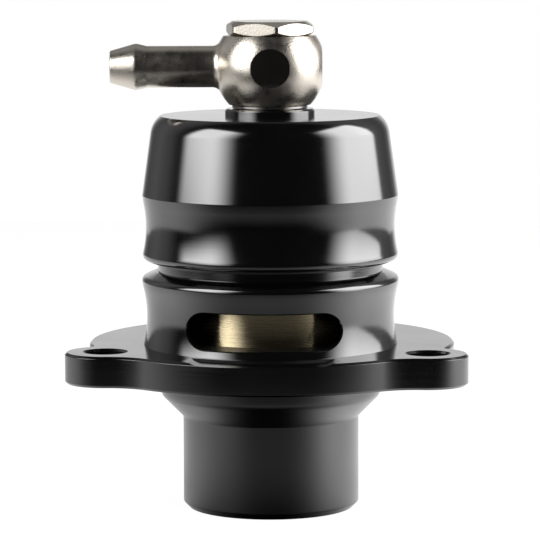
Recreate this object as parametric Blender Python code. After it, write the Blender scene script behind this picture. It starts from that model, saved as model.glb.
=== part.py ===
"""Blow off valve with two vent slots, a flanged body and a swivelling hose banjo.

The valve stands on the end of its spigot. The valve axis is vertical, the front vent slot
faces -Y and the hose nipple points to -X. The origin lies on the floor plane, under the
middle of the whole flange, so the valve axis stands a little in front of it.

Every round piece is turned from an outline of (radius, height) points about the valve axis.
"""
import math

import bmesh
import bpy
from mathutils import Matrix, Vector

MM = 0.001

# Clearances
SEAT_GAP = 0.1 * MM       # between flat faces that are clamped together
RUNNING_GAP = 0.2 * MM    # round a piece that slides or screws in
RING_GAP = 0.1 * MM       # round a seal or a guide ring in its groove

# Facets
ROUND_STEPS = 40
SMALL_STEPS = 28
BORE_STEPS = 16
BALL_STEPS = 32
RING_SIDES = 8
ARC_STEP = math.radians(13)
WAIST_STEPS = 3

# Spigot and the flare above it
SPIGOT_WALL = 2.55 * MM
SPIGOT_LENGTH = 16.0 * MM
SPIGOT_CHAMFER = 1.0 * MM
SPIGOT_BORE_CHAMFER = 0.4 * MM
FLARE_STAND = 3.8 * MM
FLARE_HEIGHT = 3.85 * MM
FLARE_ROUND = 1.5 * MM
COLLAR_HEIGHT = 3.35 * MM

# Flange plate with three bolt ears, evenly spaced round the disc's centre
FLANGE_R = 31.85 * MM
FLANGE_THICKNESS = 5.35 * MM
FLANGE_OFFSET = 3.5 * MM      # the disc's centre lies this far behind the valve axis
FLANGE_CHAMFER = 0.4 * MM
BOLT_CIRCLE_R = 31.75 * MM
EAR_R = 6.9 * MM
EAR_ANGLE = math.radians(30)  # how far the two front ears stand forward of the disc's centre
EAR_FRONT_ROUND = 10.0 * MM
EAR_BACK_ROUND = 1.0 * MM
BOLT_HOLE_R = 3.5 * MM
BOLT_HOLE_CHAMFER = 0.4 * MM

# Piston
PISTON_R = 16.1 * MM
PISTON_WALL = 2.6 * MM
PISTON_HEIGHT = 18.5 * MM
PISTON_FLOOR = 3.5 * MM
PISTON_EDGE = 0.5 * MM
PISTON_STROKE = 8.0 * MM
PISTON_RECESS_R = 8.5 * MM
PISTON_RECESS_DEPTH = 1.6 * MM
NOSE_LIP = 1.1 * MM
NOSE_GAP = 0.3 * MM           # between the nose and the spigot's bore

# Seals and guide ring
SEAT_SEAL_SECTION = 0.8 * MM
SEAT_SEAL_TOUCH = 0.7 * MM    # how far down the chamfer the seal closes
PISTON_SEAL_SECTION = 0.6 * MM
PISTON_SEAL_DROP = 2.6 * MM
PISTON_SEAL_STAND = 0.1 * MM
GUIDE_RING_HEIGHT = 3.0 * MM
GUIDE_RING_DEPTH = 1.0 * MM
GUIDE_RING_DROP = 6.2 * MM
GUIDE_RING_SPLIT = math.radians(5)
CAP_SEAL_SECTION = 0.5 * MM
CAP_SEAL_DROP = 2.0 * MM
CAP_SEAL_STAND = 0.1 * MM

# Barrel of the body, with its waist, lip and neck
BARREL_WALL = 5.14 * MM
BARREL_WAIST_RISE = 5.17 * MM
BARREL_FOOT_ARC = 22.0 * MM
BARREL_WAIST_ARC = 19.0 * MM
BARREL_WAIST_ABOVE = 4.77 * MM
BARREL_BAND_HEIGHT = 1.0 * MM
BARREL_BAND_STAND = 0.2 * MM
BARREL_LIP_HEIGHT = 0.8 * MM
BARREL_LIP_ROUND = 0.9 * MM
BARREL_BEVEL_HEIGHT = 1.0 * MM
NECK_WALL = 3.2 * MM
NECK_FLAT = 0.4 * MM
NECK_GROOVE = 1.43 * MM
NECK_OVERRUN = 1.0 * MM
NECK_CHAMFER = 0.6 * MM
SEAT_DROP = 0.9 * MM
SEAT_CHAMFER = 1.0 * MM
SEAT_WIDTH = 2.6 * MM         # flat ledge between the bore and the seat's chamfer

# Vent slot, milled straight through the front and back walls
SLOT_WIDTH = 26.2 * MM
SLOT_HEIGHT = 6.2 * MM
SLOT_SILL = 1.25 * MM

# Cap
CAP_WALL = 1.83 * MM
CAP_BEVEL_HEIGHT = 0.77 * MM
CAP_LIP_ROUND = 1.0 * MM
CAP_WAIST_RISE = 6.35 * MM
CAP_WAIST_ARC = 19.5 * MM
CAP_WAIST_BELOW = 4.65 * MM
CAP_WAIST_ABOVE = 4.1 * MM
CAP_RIDGE_HEIGHT = 1.3 * MM
CAP_RIDGE_STAND = 0.17 * MM
CAP_TAPER = 1.46 * MM
CAP_SHOULDER_DROP = 3.5 * MM
CAP_SHOULDER_ROUND = 4.42 * MM
CAP_CHAMBER_HEIGHT = 6.0 * MM
CAP_CROWN = 5.43 * MM
BOSS_R = 7.75 * MM
BOSS_HEIGHT = 1.2 * MM
BOSS_CHAMFER = 0.3 * MM

# Return spring
SPRING_WIRE_R = 0.8 * MM
SPRING_SIDE_GAP = 1.2 * MM
SPRING_TURNS = 6.5
SPRING_POINTS_PER_TURN = 14
SPRING_END_PITCH = 1.92 * MM  # rise of each closed end turn

# Banjo hose fitting and its bolt
BOLT_SHANK_R = 4.85 * MM
BOLT_WAIST_R = 4.0 * MM
BOLT_BORE_R = 2.0 * MM
BOLT_CROSS_R = 1.5 * MM
BOLT_WAIST_HALF = 3.0 * MM
BOLT_END_CHAMFER = 0.5 * MM
HEX_WIDTH = 14.0 * MM
HEX_HEIGHT = 2.4 * MM
HEX_TOP_CHAMFER = 0.5 * MM
HEX_TRIM_OVER = 0.2 * MM      # how far the turned trim stands clear of the hex corners
HEX_TRIM_ANGLE = math.radians(30)
HEX_TURN = math.radians(12.6)
WASHER_WIDTH = 1.25 * MM
WASHER_THICKNESS = 0.45 * MM
UPPER_SEAL_WIDTH = 1.0 * MM
UPPER_SEAL_THICKNESS = 0.7 * MM
BALL_R = 9.6 * MM
BALL_BELOW = 6.55 * MM
BALL_ABOVE = 5.3 * MM
BALL_FLAT_DISTANCE = 9.0 * MM
BANJO_YAW = math.radians(4)
NIPPLE_REACH = 27.5 * MM
NIPPLE_SHANK_R = 3.58 * MM
NIPPLE_BORE_R = 1.6 * MM
NIPPLE_TIP_R = 2.75 * MM
NIPPLE_BARB_R = 4.05 * MM
NIPPLE_BARB_FROM_TIP = 4.5 * MM
NIPPLE_BARB_BACK = 1.9 * MM
NIPPLE_BARB_ROUND = 1.5 * MM
NIPPLE_ROOT_ROUND = 1.5 * MM
NIPPLE_ROOT_DEPTH = 2.9 * MM  # how deep the nipple's solid reaches into the ball

# Radii that follow from the piston outwards
BORE_R = PISTON_R + RUNNING_GAP
PISTON_INNER_R = PISTON_R - PISTON_WALL
SEAT_EDGE_R = BORE_R - SEAT_WIDTH
SPIGOT_BORE_R = SEAT_EDGE_R - SEAT_CHAMFER
SPIGOT_R = SPIGOT_BORE_R + SPIGOT_WALL
COLLAR_R = SPIGOT_R + FLARE_STAND
BARREL_WAIST_R = BORE_R + BARREL_WALL
NECK_R = BORE_R + NECK_WALL
CAP_BORE_R = NECK_R + RUNNING_GAP
CAP_WAIST_R = CAP_BORE_R + CAP_WALL

# Heights that follow from the spigot's end upwards
FLANGE_BOTTOM_Z = SPIGOT_LENGTH + FLARE_HEIGHT + COLLAR_HEIGHT
FLANGE_TOP_Z = FLANGE_BOTTOM_Z + FLANGE_THICKNESS
SEAT_Z = FLANGE_TOP_Z - SEAT_DROP
BARREL_WAIST_Z = FLANGE_TOP_Z + BARREL_WAIST_RISE
BARREL_LIP_Z = BARREL_WAIST_Z + BARREL_WAIST_ABOVE + BARREL_BAND_HEIGHT
BARREL_TOP_Z = BARREL_LIP_Z + BARREL_LIP_HEIGHT + BARREL_BEVEL_HEIGHT
SLOT_FLOOR_Z = FLANGE_TOP_Z + SLOT_SILL
SEAT_SEAL_R = SEAT_EDGE_R - SEAT_SEAL_TOUCH
SEAT_SEAL_Z = SEAT_Z + (SEAT_SEAL_SECTION + RING_GAP) * math.sqrt(2) - SEAT_SEAL_TOUCH
PISTON_FOOT_Z = SEAT_SEAL_Z + SEAT_SEAL_SECTION + RING_GAP
PISTON_TOP_Z = PISTON_FOOT_Z + PISTON_HEIGHT
PISTON_FLOOR_Z = PISTON_FOOT_Z + PISTON_FLOOR
NECK_TOP_Z = PISTON_TOP_Z + PISTON_STROKE + NECK_OVERRUN
CAP_BOTTOM_Z = BARREL_TOP_Z + NECK_GROOVE
CAP_STEP_Z = NECK_TOP_Z + SEAT_GAP
CAP_CEILING_Z = CAP_STEP_Z + CAP_CHAMBER_HEIGHT
CAP_TOP_Z = CAP_CEILING_Z + CAP_CROWN
CAP_WAIST_Z = CAP_BOTTOM_Z + CAP_WAIST_RISE
BOSS_TOP_Z = CAP_TOP_Z + BOSS_HEIGHT
WASHER_Z = BOSS_TOP_Z + SEAT_GAP
EYE_BOTTOM_Z = WASHER_Z + WASHER_THICKNESS + SEAT_GAP
BALL_Z = EYE_BOTTOM_Z + BALL_BELOW
EYE_TOP_Z = BALL_Z + BALL_ABOVE
HEX_BOTTOM_Z = EYE_TOP_Z + SEAT_GAP
HEX_TOP_Z = HEX_BOTTOM_Z + HEX_HEIGHT
BOLT_END_Z = CAP_CEILING_Z + RUNNING_GAP

# Banjo radii that follow from the bolt
BOLT_HOLE_IN_CAP_R = BOLT_SHANK_R + RUNNING_GAP
EYE_BORE_R = BOLT_SHANK_R + 2 * RUNNING_GAP

# Colours as red, green, blue
BLACK_ANODISED = (0.012, 0.012, 0.013)
BRASS = (0.80, 0.58, 0.30)
NICKEL = (0.68, 0.63, 0.56)
STEEL = (0.35, 0.35, 0.36)
RUBBER = (0.02, 0.02, 0.02)
GUIDE_WHITE = (0.75, 0.72, 0.66)
SPRING_STEEL = (0.45, 0.44, 0.43)


def clear_scene():
    """Remove whatever the open file holds."""
    for scene_object in list(bpy.data.objects):
        bpy.data.objects.remove(scene_object, do_unlink=True)


def make_material(name, colour, roughness, metallic):
    """A Principled material with one colour."""
    material = bpy.data.materials.new(name)
    material.use_nodes = True
    shader = material.node_tree.nodes["Principled BSDF"]
    shader.inputs["Base Color"].default_value = (*colour, 1.0)
    shader.inputs["Roughness"].default_value = roughness
    shader.inputs["Metallic"].default_value = metallic
    return material


def arc(centre, radius, start, end):
    """Points on a round from the start angle to the end angle, both included."""
    count = max(2, math.ceil(abs(end - start) / ARC_STEP))
    angles = [start + (end - start) * i / count for i in range(count + 1)]
    return [(centre[0] + radius * math.cos(a), centre[1] + radius * math.sin(a)) for a in angles]


def rounded(corners, closed=True):
    """Turn corners of (x, y) or (x, y, round) into points, with an arc at each round corner."""
    points = []
    for i, corner in enumerate(corners):
        here = Vector(corner[:2])
        radius = corner[2] if len(corner) > 2 else 0.0
        open_end = not closed and i in (0, len(corners) - 1)
        if radius <= 0.0 or open_end:
            points.append(tuple(here))
            continue
        before = (Vector(corners[i - 1][:2]) - here).normalized()
        after = (Vector(corners[(i + 1) % len(corners)][:2]) - here).normalized()
        half = before.angle(after) / 2
        centre = here + (before + after).normalized() * (radius / math.sin(half))
        first = here + before * (radius / math.tan(half)) - centre
        last = here + after * (radius / math.tan(half)) - centre
        start = math.atan2(first.y, first.x)
        turn = math.atan2(last.y, last.x) - start
        turn = (turn + math.pi) % (2 * math.pi) - math.pi
        points += arc(centre, radius, start, start + turn)
    return points


def waist(waist_r, waist_z, lower_arc, upper_arc, below, above):
    """A hollow waist from its lower end up to its upper end, its two rounds meeting smoothly."""
    points = []
    for arc_r, start, end in (
        (lower_arc, math.pi + math.asin(below / lower_arc), math.pi),
        (upper_arc, math.pi, math.pi - math.asin(above / upper_arc)),
    ):
        for i in range(WAIST_STEPS + 1):
            angle = start + (end - start) * i / WAIST_STEPS
            points.append((waist_r + arc_r + arc_r * math.cos(angle), waist_z + arc_r * math.sin(angle)))
    return points[:WAIST_STEPS] + points[WAIST_STEPS + 1:]


def finish_object(name, mesh, material, parent):
    """Make an object of a mesh, shade it smooth and set its material."""
    mesh.shade_smooth()
    mesh.set_sharp_from_angle(angle=math.radians(30))
    piece = bpy.data.objects.new(name, mesh)
    bpy.context.scene.collection.objects.link(piece)
    piece.parent = parent
    if material is not None:
        mesh.materials.append(material)
    return piece


def mesh_from(bm, name):
    """Close up a bmesh, point its faces outwards and hand it over as a mesh."""
    bmesh.ops.remove_doubles(bm, verts=bm.verts, dist=0.001 * MM)
    bmesh.ops.recalc_face_normals(bm, faces=bm.faces)
    mesh = bpy.data.meshes.new(name)
    bm.to_mesh(mesh)
    bm.free()
    return mesh


def turned_mesh(name, outline, steps=ROUND_STEPS, on_axis=False):
    """Spin an outline of (radius, height) points once round the Z axis.

    An outline that starts and ends on the axis is left open there; any other one is closed.
    """
    bm = bmesh.new()
    verts = [bm.verts.new((r, 0.0, z)) for r, z in outline]
    pairs = list(zip(verts, verts[1:]))
    if not on_axis:
        pairs.append((verts[-1], verts[0]))
    edges = [bm.edges.new(pair) for pair in pairs]
    bmesh.ops.spin(
        bm, geom=verts + edges, cent=(0, 0, 0), axis=(0, 0, 1),
        angle=2 * math.pi, steps=steps, use_merge=True,
    )
    return mesh_from(bm, name)


def turned(name, outline, material, parent, steps=ROUND_STEPS, on_axis=False):
    """A turned piece on the valve axis."""
    return finish_object(name, turned_mesh(name, outline, steps, on_axis), material, parent)


def prism_mesh(name, outlines):
    """Join outlines of equal length, each a (height, points) pair, into one closed prism."""
    bm = bmesh.new()
    loops = [[bm.verts.new((x, y, z)) for x, y in points] for z, points in outlines]
    for lower, upper in zip(loops, loops[1:]):
        for i in range(len(lower)):
            j = (i + 1) % len(lower)
            bm.faces.new((lower[i], lower[j], upper[j], upper[i]))
    bm.faces.new(list(reversed(loops[0])))
    bm.faces.new(loops[-1])
    return mesh_from(bm, name)


def guide(piece):
    """Mark an object as a cutter or a form that is not a piece of the valve."""
    piece.hide_render = True
    piece.display_type = "WIRE"
    return piece


def combine(piece, other, operation):
    """Add an exact Boolean of another object to a piece."""
    modifier = piece.modifiers.new(other.name, "BOOLEAN")
    modifier.solver = "EXACT"
    modifier.operation = operation
    modifier.object = other


def turned_cutter(name, outline, parent, steps=ROUND_STEPS):
    """A turned form that reaches the axis, used as a cutter."""
    return guide(turned(name, outline, None, parent, steps, on_axis=True))


def ring(name, ring_r, section_r, height, material, parent):
    """A seal ring of round section."""
    angles = [2 * math.pi * i / RING_SIDES for i in range(RING_SIDES)]
    outline = [(ring_r + section_r * math.cos(a), height + section_r * math.sin(a)) for a in angles]
    return turned(name, outline, material, parent)


def circle_meeting(centre_a, reach_a, centre_b, reach_b, side):
    """The point at the given reach from two centres, on the left (1) or right (-1) of a to b."""
    line = centre_b - centre_a
    along = (reach_a ** 2 - reach_b ** 2 + line.length_squared) / (2 * line.length)
    across = math.sqrt(reach_a ** 2 - along ** 2)
    unit = line.normalized()
    return centre_a + unit * along + Vector((-unit.y, unit.x)) * across * side


def arc_between(centre, radius, start_point, end_point, clockwise=False):
    """Arc points about a centre, from one point to another, in the given direction."""
    start = math.atan2(start_point.y - centre.y, start_point.x - centre.x)
    end = math.atan2(end_point.y - centre.y, end_point.x - centre.x)
    if clockwise:
        while end > start:
            end -= 2 * math.pi
    else:
        while end < start:
            end += 2 * math.pi
    return arc(centre, radius, start, end)


def flange_outline(inset):
    """The flange seen from above, counterclockwise, with the valve axis at the origin.

    A disc and three ears. Each front ear runs into the disc's front in a long hollow round;
    the other joints of ear and disc are tight. A positive inset shrinks the outline evenly.
    """
    disc = Vector((0.0, FLANGE_OFFSET))
    disc_r = FLANGE_R - inset
    ear_r = EAR_R - inset
    right = disc + BOLT_CIRCLE_R * Vector((math.cos(EAR_ANGLE), -math.sin(EAR_ANGLE)))
    back = disc + Vector((0.0, BOLT_CIRCLE_R))
    half = []
    last = disc + Vector((0.0, -disc_r))
    for ear, before, after in ((right, EAR_FRONT_ROUND, EAR_BACK_ROUND), (back, EAR_BACK_ROUND, 0.0)):
        first_r = before + inset
        first = circle_meeting(disc, disc_r + first_r, ear, ear_r + first_r, -1)
        disc_end = disc + (first - disc).normalized() * disc_r
        ear_start = ear + (first - ear).normalized() * ear_r
        half += arc_between(disc, disc_r, last, disc_end)
        half += arc_between(first, first_r, disc_end, ear_start, clockwise=True)[1:]
        if not after:
            half += arc_between(ear, ear_r, ear_start, ear + Vector((0.0, ear_r)))[1:]
            break
        second_r = after + inset
        second = circle_meeting(disc, disc_r + second_r, ear, ear_r + second_r, 1)
        ear_end = ear + (second - ear).normalized() * ear_r
        last = disc + (second - disc).normalized() * disc_r
        half += arc_between(ear, ear_r, ear_start, ear_end)[1:]
        half += arc_between(second, second_r, ear_end, last, clockwise=True)[1:-1]
    mirrored = [(-x, y) for x, y in reversed(half[1:-1])]
    return half + mirrored


def bolt_centres():
    """Where the bolt holes are, seen from above with the valve axis at the origin."""
    side = BOLT_CIRCLE_R * math.cos(EAR_ANGLE)
    front = FLANGE_OFFSET - BOLT_CIRCLE_R * math.sin(EAR_ANGLE)
    return {
        "left": (-side, front),
        "right": (side, front),
        "back": (0.0, FLANGE_OFFSET + BOLT_CIRCLE_R),
    }


def flange_plate(parent):
    """The flange plate with its chamfered rims, as a form to join to the body."""
    whole = flange_outline(0.0)
    inset = flange_outline(FLANGE_CHAMFER)
    mesh = prism_mesh("flange_form", [
        (FLANGE_BOTTOM_Z, inset),
        (FLANGE_BOTTOM_Z + FLANGE_CHAMFER, whole),
        (FLANGE_TOP_Z - FLANGE_CHAMFER, whole),
        (FLANGE_TOP_Z, inset),
    ])
    return guide(finish_object("flange_form", mesh, None, parent))


def bolt_hole_cutter(name, centre, parent):
    """A bolt hole through one ear, with a chamfer at each mouth."""
    wide = BOLT_HOLE_R + BOLT_HOLE_CHAMFER
    over = MM
    outline = [
        (0.0, FLANGE_TOP_Z + over),
        (wide + over, FLANGE_TOP_Z + over),
        (BOLT_HOLE_R, FLANGE_TOP_Z - BOLT_HOLE_CHAMFER),
        (BOLT_HOLE_R, FLANGE_BOTTOM_Z + BOLT_HOLE_CHAMFER),
        (wide + over, FLANGE_BOTTOM_Z - over),
        (0.0, FLANGE_BOTTOM_Z - over),
    ]
    cutter = turned_cutter(f"bolt_hole_{name}", outline, parent, SMALL_STEPS)
    cutter.location = (*centre, 0.0)
    return cutter


def slot_cutter(parent):
    """A bar with round ends that mills both vent slots in one pass along Y."""
    half_height = SLOT_HEIGHT / 2
    centre_z = SLOT_FLOOR_Z + half_height
    end_x = SLOT_WIDTH / 2 - half_height
    points = arc((end_x, centre_z), half_height, -math.pi / 2, math.pi / 2)
    points += arc((-end_x, centre_z), half_height, math.pi / 2, 3 * math.pi / 2)
    reach = 2 * BARREL_WAIST_R
    mesh = prism_mesh("slot_form", [(-reach, points), (reach, points)])
    mesh.transform(Matrix.Rotation(math.pi / 2, 4, "X"))
    return guide(finish_object("slot_form", mesh, None, parent))


def body_outside():
    """Outline of the body's outside, from the axis at the bottom to the axis at the top."""
    corners = [
        (0.0, 0.0),
        (SPIGOT_R - SPIGOT_CHAMFER, 0.0),
        (SPIGOT_R, SPIGOT_CHAMFER),
        (SPIGOT_R, SPIGOT_LENGTH),
        (COLLAR_R, SPIGOT_LENGTH + FLARE_HEIGHT, FLARE_ROUND),
        (COLLAR_R, FLANGE_BOTTOM_Z + FLANGE_THICKNESS / 2),
    ]
    barrel = waist(BARREL_WAIST_R, BARREL_WAIST_Z, BARREL_FOOT_ARC, BARREL_WAIST_ARC,
                   BARREL_WAIST_RISE, BARREL_WAIST_ABOVE)
    base_r = barrel[0][0]
    lip_r = barrel[-1][0] + BARREL_BAND_STAND
    lip = rounded([
        (lip_r, BARREL_LIP_Z),
        (lip_r, BARREL_LIP_Z + BARREL_LIP_HEIGHT, BARREL_LIP_ROUND),
        (NECK_R + NECK_FLAT, BARREL_TOP_Z),
    ], closed=False)
    seal_z = NECK_TOP_Z - CAP_SEAL_DROP
    groove_r = NECK_R + CAP_SEAL_STAND - 2 * (CAP_SEAL_SECTION + RING_GAP)
    groove_half = CAP_SEAL_SECTION + RING_GAP
    top = [
        (NECK_R, BARREL_TOP_Z),
        (NECK_R, seal_z - groove_half),
        (groove_r, seal_z - groove_half),
        (groove_r, seal_z + groove_half),
        (NECK_R, seal_z + groove_half),
        (NECK_R, NECK_TOP_Z - NECK_CHAMFER),
        (NECK_R - NECK_CHAMFER, NECK_TOP_Z),
        (0.0, NECK_TOP_Z),
    ]
    base = [(base_r, FLANGE_BOTTOM_Z + FLANGE_THICKNESS / 2)]
    return rounded(corners, closed=False) + base + barrel + lip + top


def body_inside():
    """Outline of the bore, from the axis below the spigot to the axis above the neck."""
    over = MM
    return [
        (0.0, -over),
        (SPIGOT_BORE_R + SPIGOT_BORE_CHAMFER + over, -over),
        (SPIGOT_BORE_R, SPIGOT_BORE_CHAMFER),
        (SPIGOT_BORE_R, SEAT_Z - SEAT_CHAMFER),
        (SEAT_EDGE_R, SEAT_Z),
        (BORE_R, SEAT_Z),
        (BORE_R, NECK_TOP_Z + over),
        (0.0, NECK_TOP_Z + over),
    ]


def valve_body(material, parent):
    """Body in one piece: spigot, flare, flange, slotted barrel and neck."""
    body = turned("valve_body", body_outside(), material, parent, on_axis=True)
    combine(body, slot_cutter(parent), "DIFFERENCE")
    combine(body, flange_plate(parent), "UNION")
    combine(body, turned_cutter("bore_form", body_inside(), parent), "DIFFERENCE")
    for name, centre in bolt_centres().items():
        combine(body, bolt_hole_cutter(name, centre, parent), "DIFFERENCE")
    return body


def cap(material, parent):
    """Screwed cap: bevelled lip, hollow waist, ridge, tapered dome and a boss for the banjo."""
    skirt = waist(CAP_WAIST_R, CAP_WAIST_Z, CAP_WAIST_ARC, CAP_WAIST_ARC,
                  CAP_WAIST_BELOW, CAP_WAIST_ABOVE)
    lip = rounded([
        (NECK_R + NECK_FLAT, CAP_BOTTOM_Z),
        (skirt[0][0], CAP_BOTTOM_Z + CAP_BEVEL_HEIGHT, CAP_LIP_ROUND),
        skirt[0],
    ], closed=False)[:-1]
    ridge = Vector((skirt[-1][0] + CAP_RIDGE_STAND, skirt[-1][1] + CAP_RIDGE_HEIGHT))
    shoulder = Vector((ridge.x - CAP_TAPER - CAP_SHOULDER_ROUND, CAP_TOP_Z - CAP_SHOULDER_DROP))
    toward = ridge - shoulder
    start = math.atan2(toward.y, toward.x) + math.acos(CAP_SHOULDER_ROUND / toward.length)
    end = math.asin(CAP_SHOULDER_DROP / CAP_SHOULDER_ROUND)
    dome = [tuple(ridge)] + arc(shoulder, CAP_SHOULDER_ROUND, start, end)
    top = [
        (BOSS_R, CAP_TOP_Z),
        (BOSS_R, BOSS_TOP_Z - BOSS_CHAMFER),
        (BOSS_R - BOSS_CHAMFER, BOSS_TOP_Z),
        (BOLT_HOLE_IN_CAP_R, BOSS_TOP_Z),
        (BOLT_HOLE_IN_CAP_R, CAP_CEILING_Z),
        (BORE_R, CAP_CEILING_Z),
        (BORE_R, CAP_STEP_Z),
        (CAP_BORE_R, CAP_STEP_Z),
    ]
    bottom = [(CAP_BORE_R, CAP_BOTTOM_Z)]
    return turned("cap", bottom + lip + skirt + dome + top, material, parent)


def cap_seal(material, parent):
    """Seal ring in the neck's groove, inside the cap."""
    ring_r = NECK_R + CAP_SEAL_STAND - CAP_SEAL_SECTION
    return ring("cap_seal", ring_r, CAP_SEAL_SECTION, NECK_TOP_Z - CAP_SEAL_DROP, material, parent)


def groove(radius, depth, low, high):
    """Points of a square groove in an outer wall that is drawn from the bottom upwards."""
    return [(radius, low), (radius - depth, low), (radius - depth, high), (radius, high)]


def piston(material, parent):
    """Cup piston: nose with the seat seal's groove, ring grooves outside, spring well inside."""
    nose_r = SPIGOT_BORE_R - NOSE_GAP
    seal_root_r = SEAT_SEAL_R - SEAT_SEAL_SECTION - RING_GAP
    lip_top = SEAT_SEAL_Z - SEAT_SEAL_SECTION - RING_GAP
    lip_bottom = lip_top - NOSE_LIP
    guide_low = PISTON_TOP_Z - GUIDE_RING_DROP - GUIDE_RING_HEIGHT / 2 - RING_GAP
    guide_high = PISTON_TOP_Z - GUIDE_RING_DROP + GUIDE_RING_HEIGHT / 2 + RING_GAP
    seal_z = PISTON_TOP_Z - PISTON_SEAL_DROP
    seal_half = PISTON_SEAL_SECTION + RING_GAP
    outline = [
        (0.0, lip_bottom + PISTON_RECESS_DEPTH),
        (PISTON_RECESS_R, lip_bottom + PISTON_RECESS_DEPTH),
        (PISTON_RECESS_R, lip_bottom),
        (nose_r - PISTON_EDGE, lip_bottom),
        (nose_r, lip_bottom + PISTON_EDGE),
        (nose_r, lip_top),
        (seal_root_r, lip_top),
        (seal_root_r, PISTON_FOOT_Z),
        (PISTON_R - PISTON_EDGE, PISTON_FOOT_Z),
        (PISTON_R, PISTON_FOOT_Z + PISTON_EDGE),
    ]
    outline += groove(PISTON_R, GUIDE_RING_DEPTH, guide_low, guide_high)
    outline += groove(PISTON_R, 2 * seal_half - PISTON_SEAL_STAND, seal_z - seal_half, seal_z + seal_half)
    outline += [
        (PISTON_R, PISTON_TOP_Z - PISTON_EDGE),
        (PISTON_R - PISTON_EDGE, PISTON_TOP_Z),
        (PISTON_INNER_R + PISTON_EDGE, PISTON_TOP_Z),
        (PISTON_INNER_R, PISTON_TOP_Z - PISTON_EDGE),
        (PISTON_INNER_R, PISTON_FLOOR_Z),
        (0.0, PISTON_FLOOR_Z),
    ]
    return turned("piston", outline, material, parent, on_axis=True)


def seat_seal(material, parent):
    """Seal ring on the piston's nose that closes on the chamfered seat."""
    return ring("seat_seal", SEAT_SEAL_R, SEAT_SEAL_SECTION, SEAT_SEAL_Z, material, parent)


def piston_seal(material, parent):
    """Seal ring near the piston's top edge."""
    ring_r = PISTON_R + PISTON_SEAL_STAND - PISTON_SEAL_SECTION
    height = PISTON_TOP_Z - PISTON_SEAL_DROP
    return ring("piston_seal", ring_r, PISTON_SEAL_SECTION, height, material, parent)


def guide_ring(material, parent):
    """Split guide ring in the piston's lower groove, its split facing back."""
    outer = PISTON_R + RING_GAP
    inner = PISTON_R - GUIDE_RING_DEPTH + RING_GAP
    middle = PISTON_TOP_Z - GUIDE_RING_DROP
    low = middle - GUIDE_RING_HEIGHT / 2
    high = middle + GUIDE_RING_HEIGHT / 2
    section = [(inner, low), (outer, low), (outer, high), (inner, high)]
    start = math.pi / 2 + GUIDE_RING_SPLIT / 2
    sweep = 2 * math.pi - GUIDE_RING_SPLIT
    bm = bmesh.new()
    loops = []
    for i in range(ROUND_STEPS + 1):
        turn = start + sweep * i / ROUND_STEPS
        loops.append([bm.verts.new((r * math.cos(turn), r * math.sin(turn), z)) for r, z in section])
    for one, two in zip(loops, loops[1:]):
        for i in range(4):
            j = (i + 1) % 4
            bm.faces.new((one[i], one[j], two[j], two[i]))
    bm.faces.new(loops[0])
    bm.faces.new(list(reversed(loops[-1])))
    return finish_object("guide_ring", mesh_from(bm, "guide_ring"), material, parent)


def return_spring(material, parent):
    """Round wire spring with a closed turn at each end, between piston floor and cap."""
    coil_r = PISTON_INNER_R - SPRING_SIDE_GAP - SPRING_WIRE_R
    low = PISTON_FLOOR_Z + SPRING_WIRE_R + SEAT_GAP
    high = CAP_CEILING_Z - SPRING_WIRE_R - SEAT_GAP
    open_turns = SPRING_TURNS - 2
    open_rise = (high - low - 2 * SPRING_END_PITCH) / open_turns
    count = round(SPRING_TURNS * SPRING_POINTS_PER_TURN)
    curve = bpy.data.curves.new("return_spring", "CURVE")
    curve.dimensions = "3D"
    curve.bevel_depth = SPRING_WIRE_R
    curve.bevel_resolution = 1
    curve.use_fill_caps = True
    spline = curve.splines.new("POLY")
    spline.points.add(count)
    for i in range(count + 1):
        turns = SPRING_TURNS * i / count
        rise = SPRING_END_PITCH * min(turns, 1.0)
        rise += open_rise * min(max(turns - 1.0, 0.0), open_turns)
        rise += SPRING_END_PITCH * max(turns - 1.0 - open_turns, 0.0)
        angle = 2 * math.pi * turns
        point = (coil_r * math.cos(angle), coil_r * math.sin(angle), low + rise, 1.0)
        spline.points[i].co = point
    spring = bpy.data.objects.new("return_spring", curve)
    bpy.context.scene.collection.objects.link(spring)
    spring.parent = parent
    curve.materials.append(material)
    return spring


def flat_ring(name, inner, outer, low, thickness, material, parent):
    """A flat washer."""
    high = low + thickness
    outline = [(inner, low), (outer, low), (outer, high), (inner, high)]
    return turned(name, outline, material, parent, SMALL_STEPS)


def lower_washer(material, parent):
    """Sealing washer between the cap's boss and the banjo."""
    outer = EYE_BORE_R + WASHER_WIDTH
    return flat_ring("lower_washer", EYE_BORE_R, outer, WASHER_Z, WASHER_THICKNESS, material, parent)


def upper_seal(material, parent):
    """Seal in the recess on top of the banjo's eye, under the bolt's head."""
    low = EYE_TOP_Z - UPPER_SEAL_THICKNESS
    outer = EYE_BORE_R + UPPER_SEAL_WIDTH
    return flat_ring("upper_seal", EYE_BORE_R, outer, low, UPPER_SEAL_THICKNESS, material, parent)


def bore_bar(name, radius, start, end, parent):
    """A round bar between two points, used as a cutter."""
    start = Vector(start)
    line = Vector(end) - start
    bm = bmesh.new()
    bmesh.ops.create_cone(
        bm, cap_ends=True, segments=BORE_STEPS, radius1=radius, radius2=radius,
        depth=line.length,
    )
    turn = Vector((0, 0, 1)).rotation_difference(line).to_matrix().to_4x4()
    bmesh.ops.transform(bm, matrix=Matrix.Translation(start + line / 2) @ turn, verts=bm.verts)
    return guide(finish_object(name, mesh_from(bm, name), None, parent))


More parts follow.
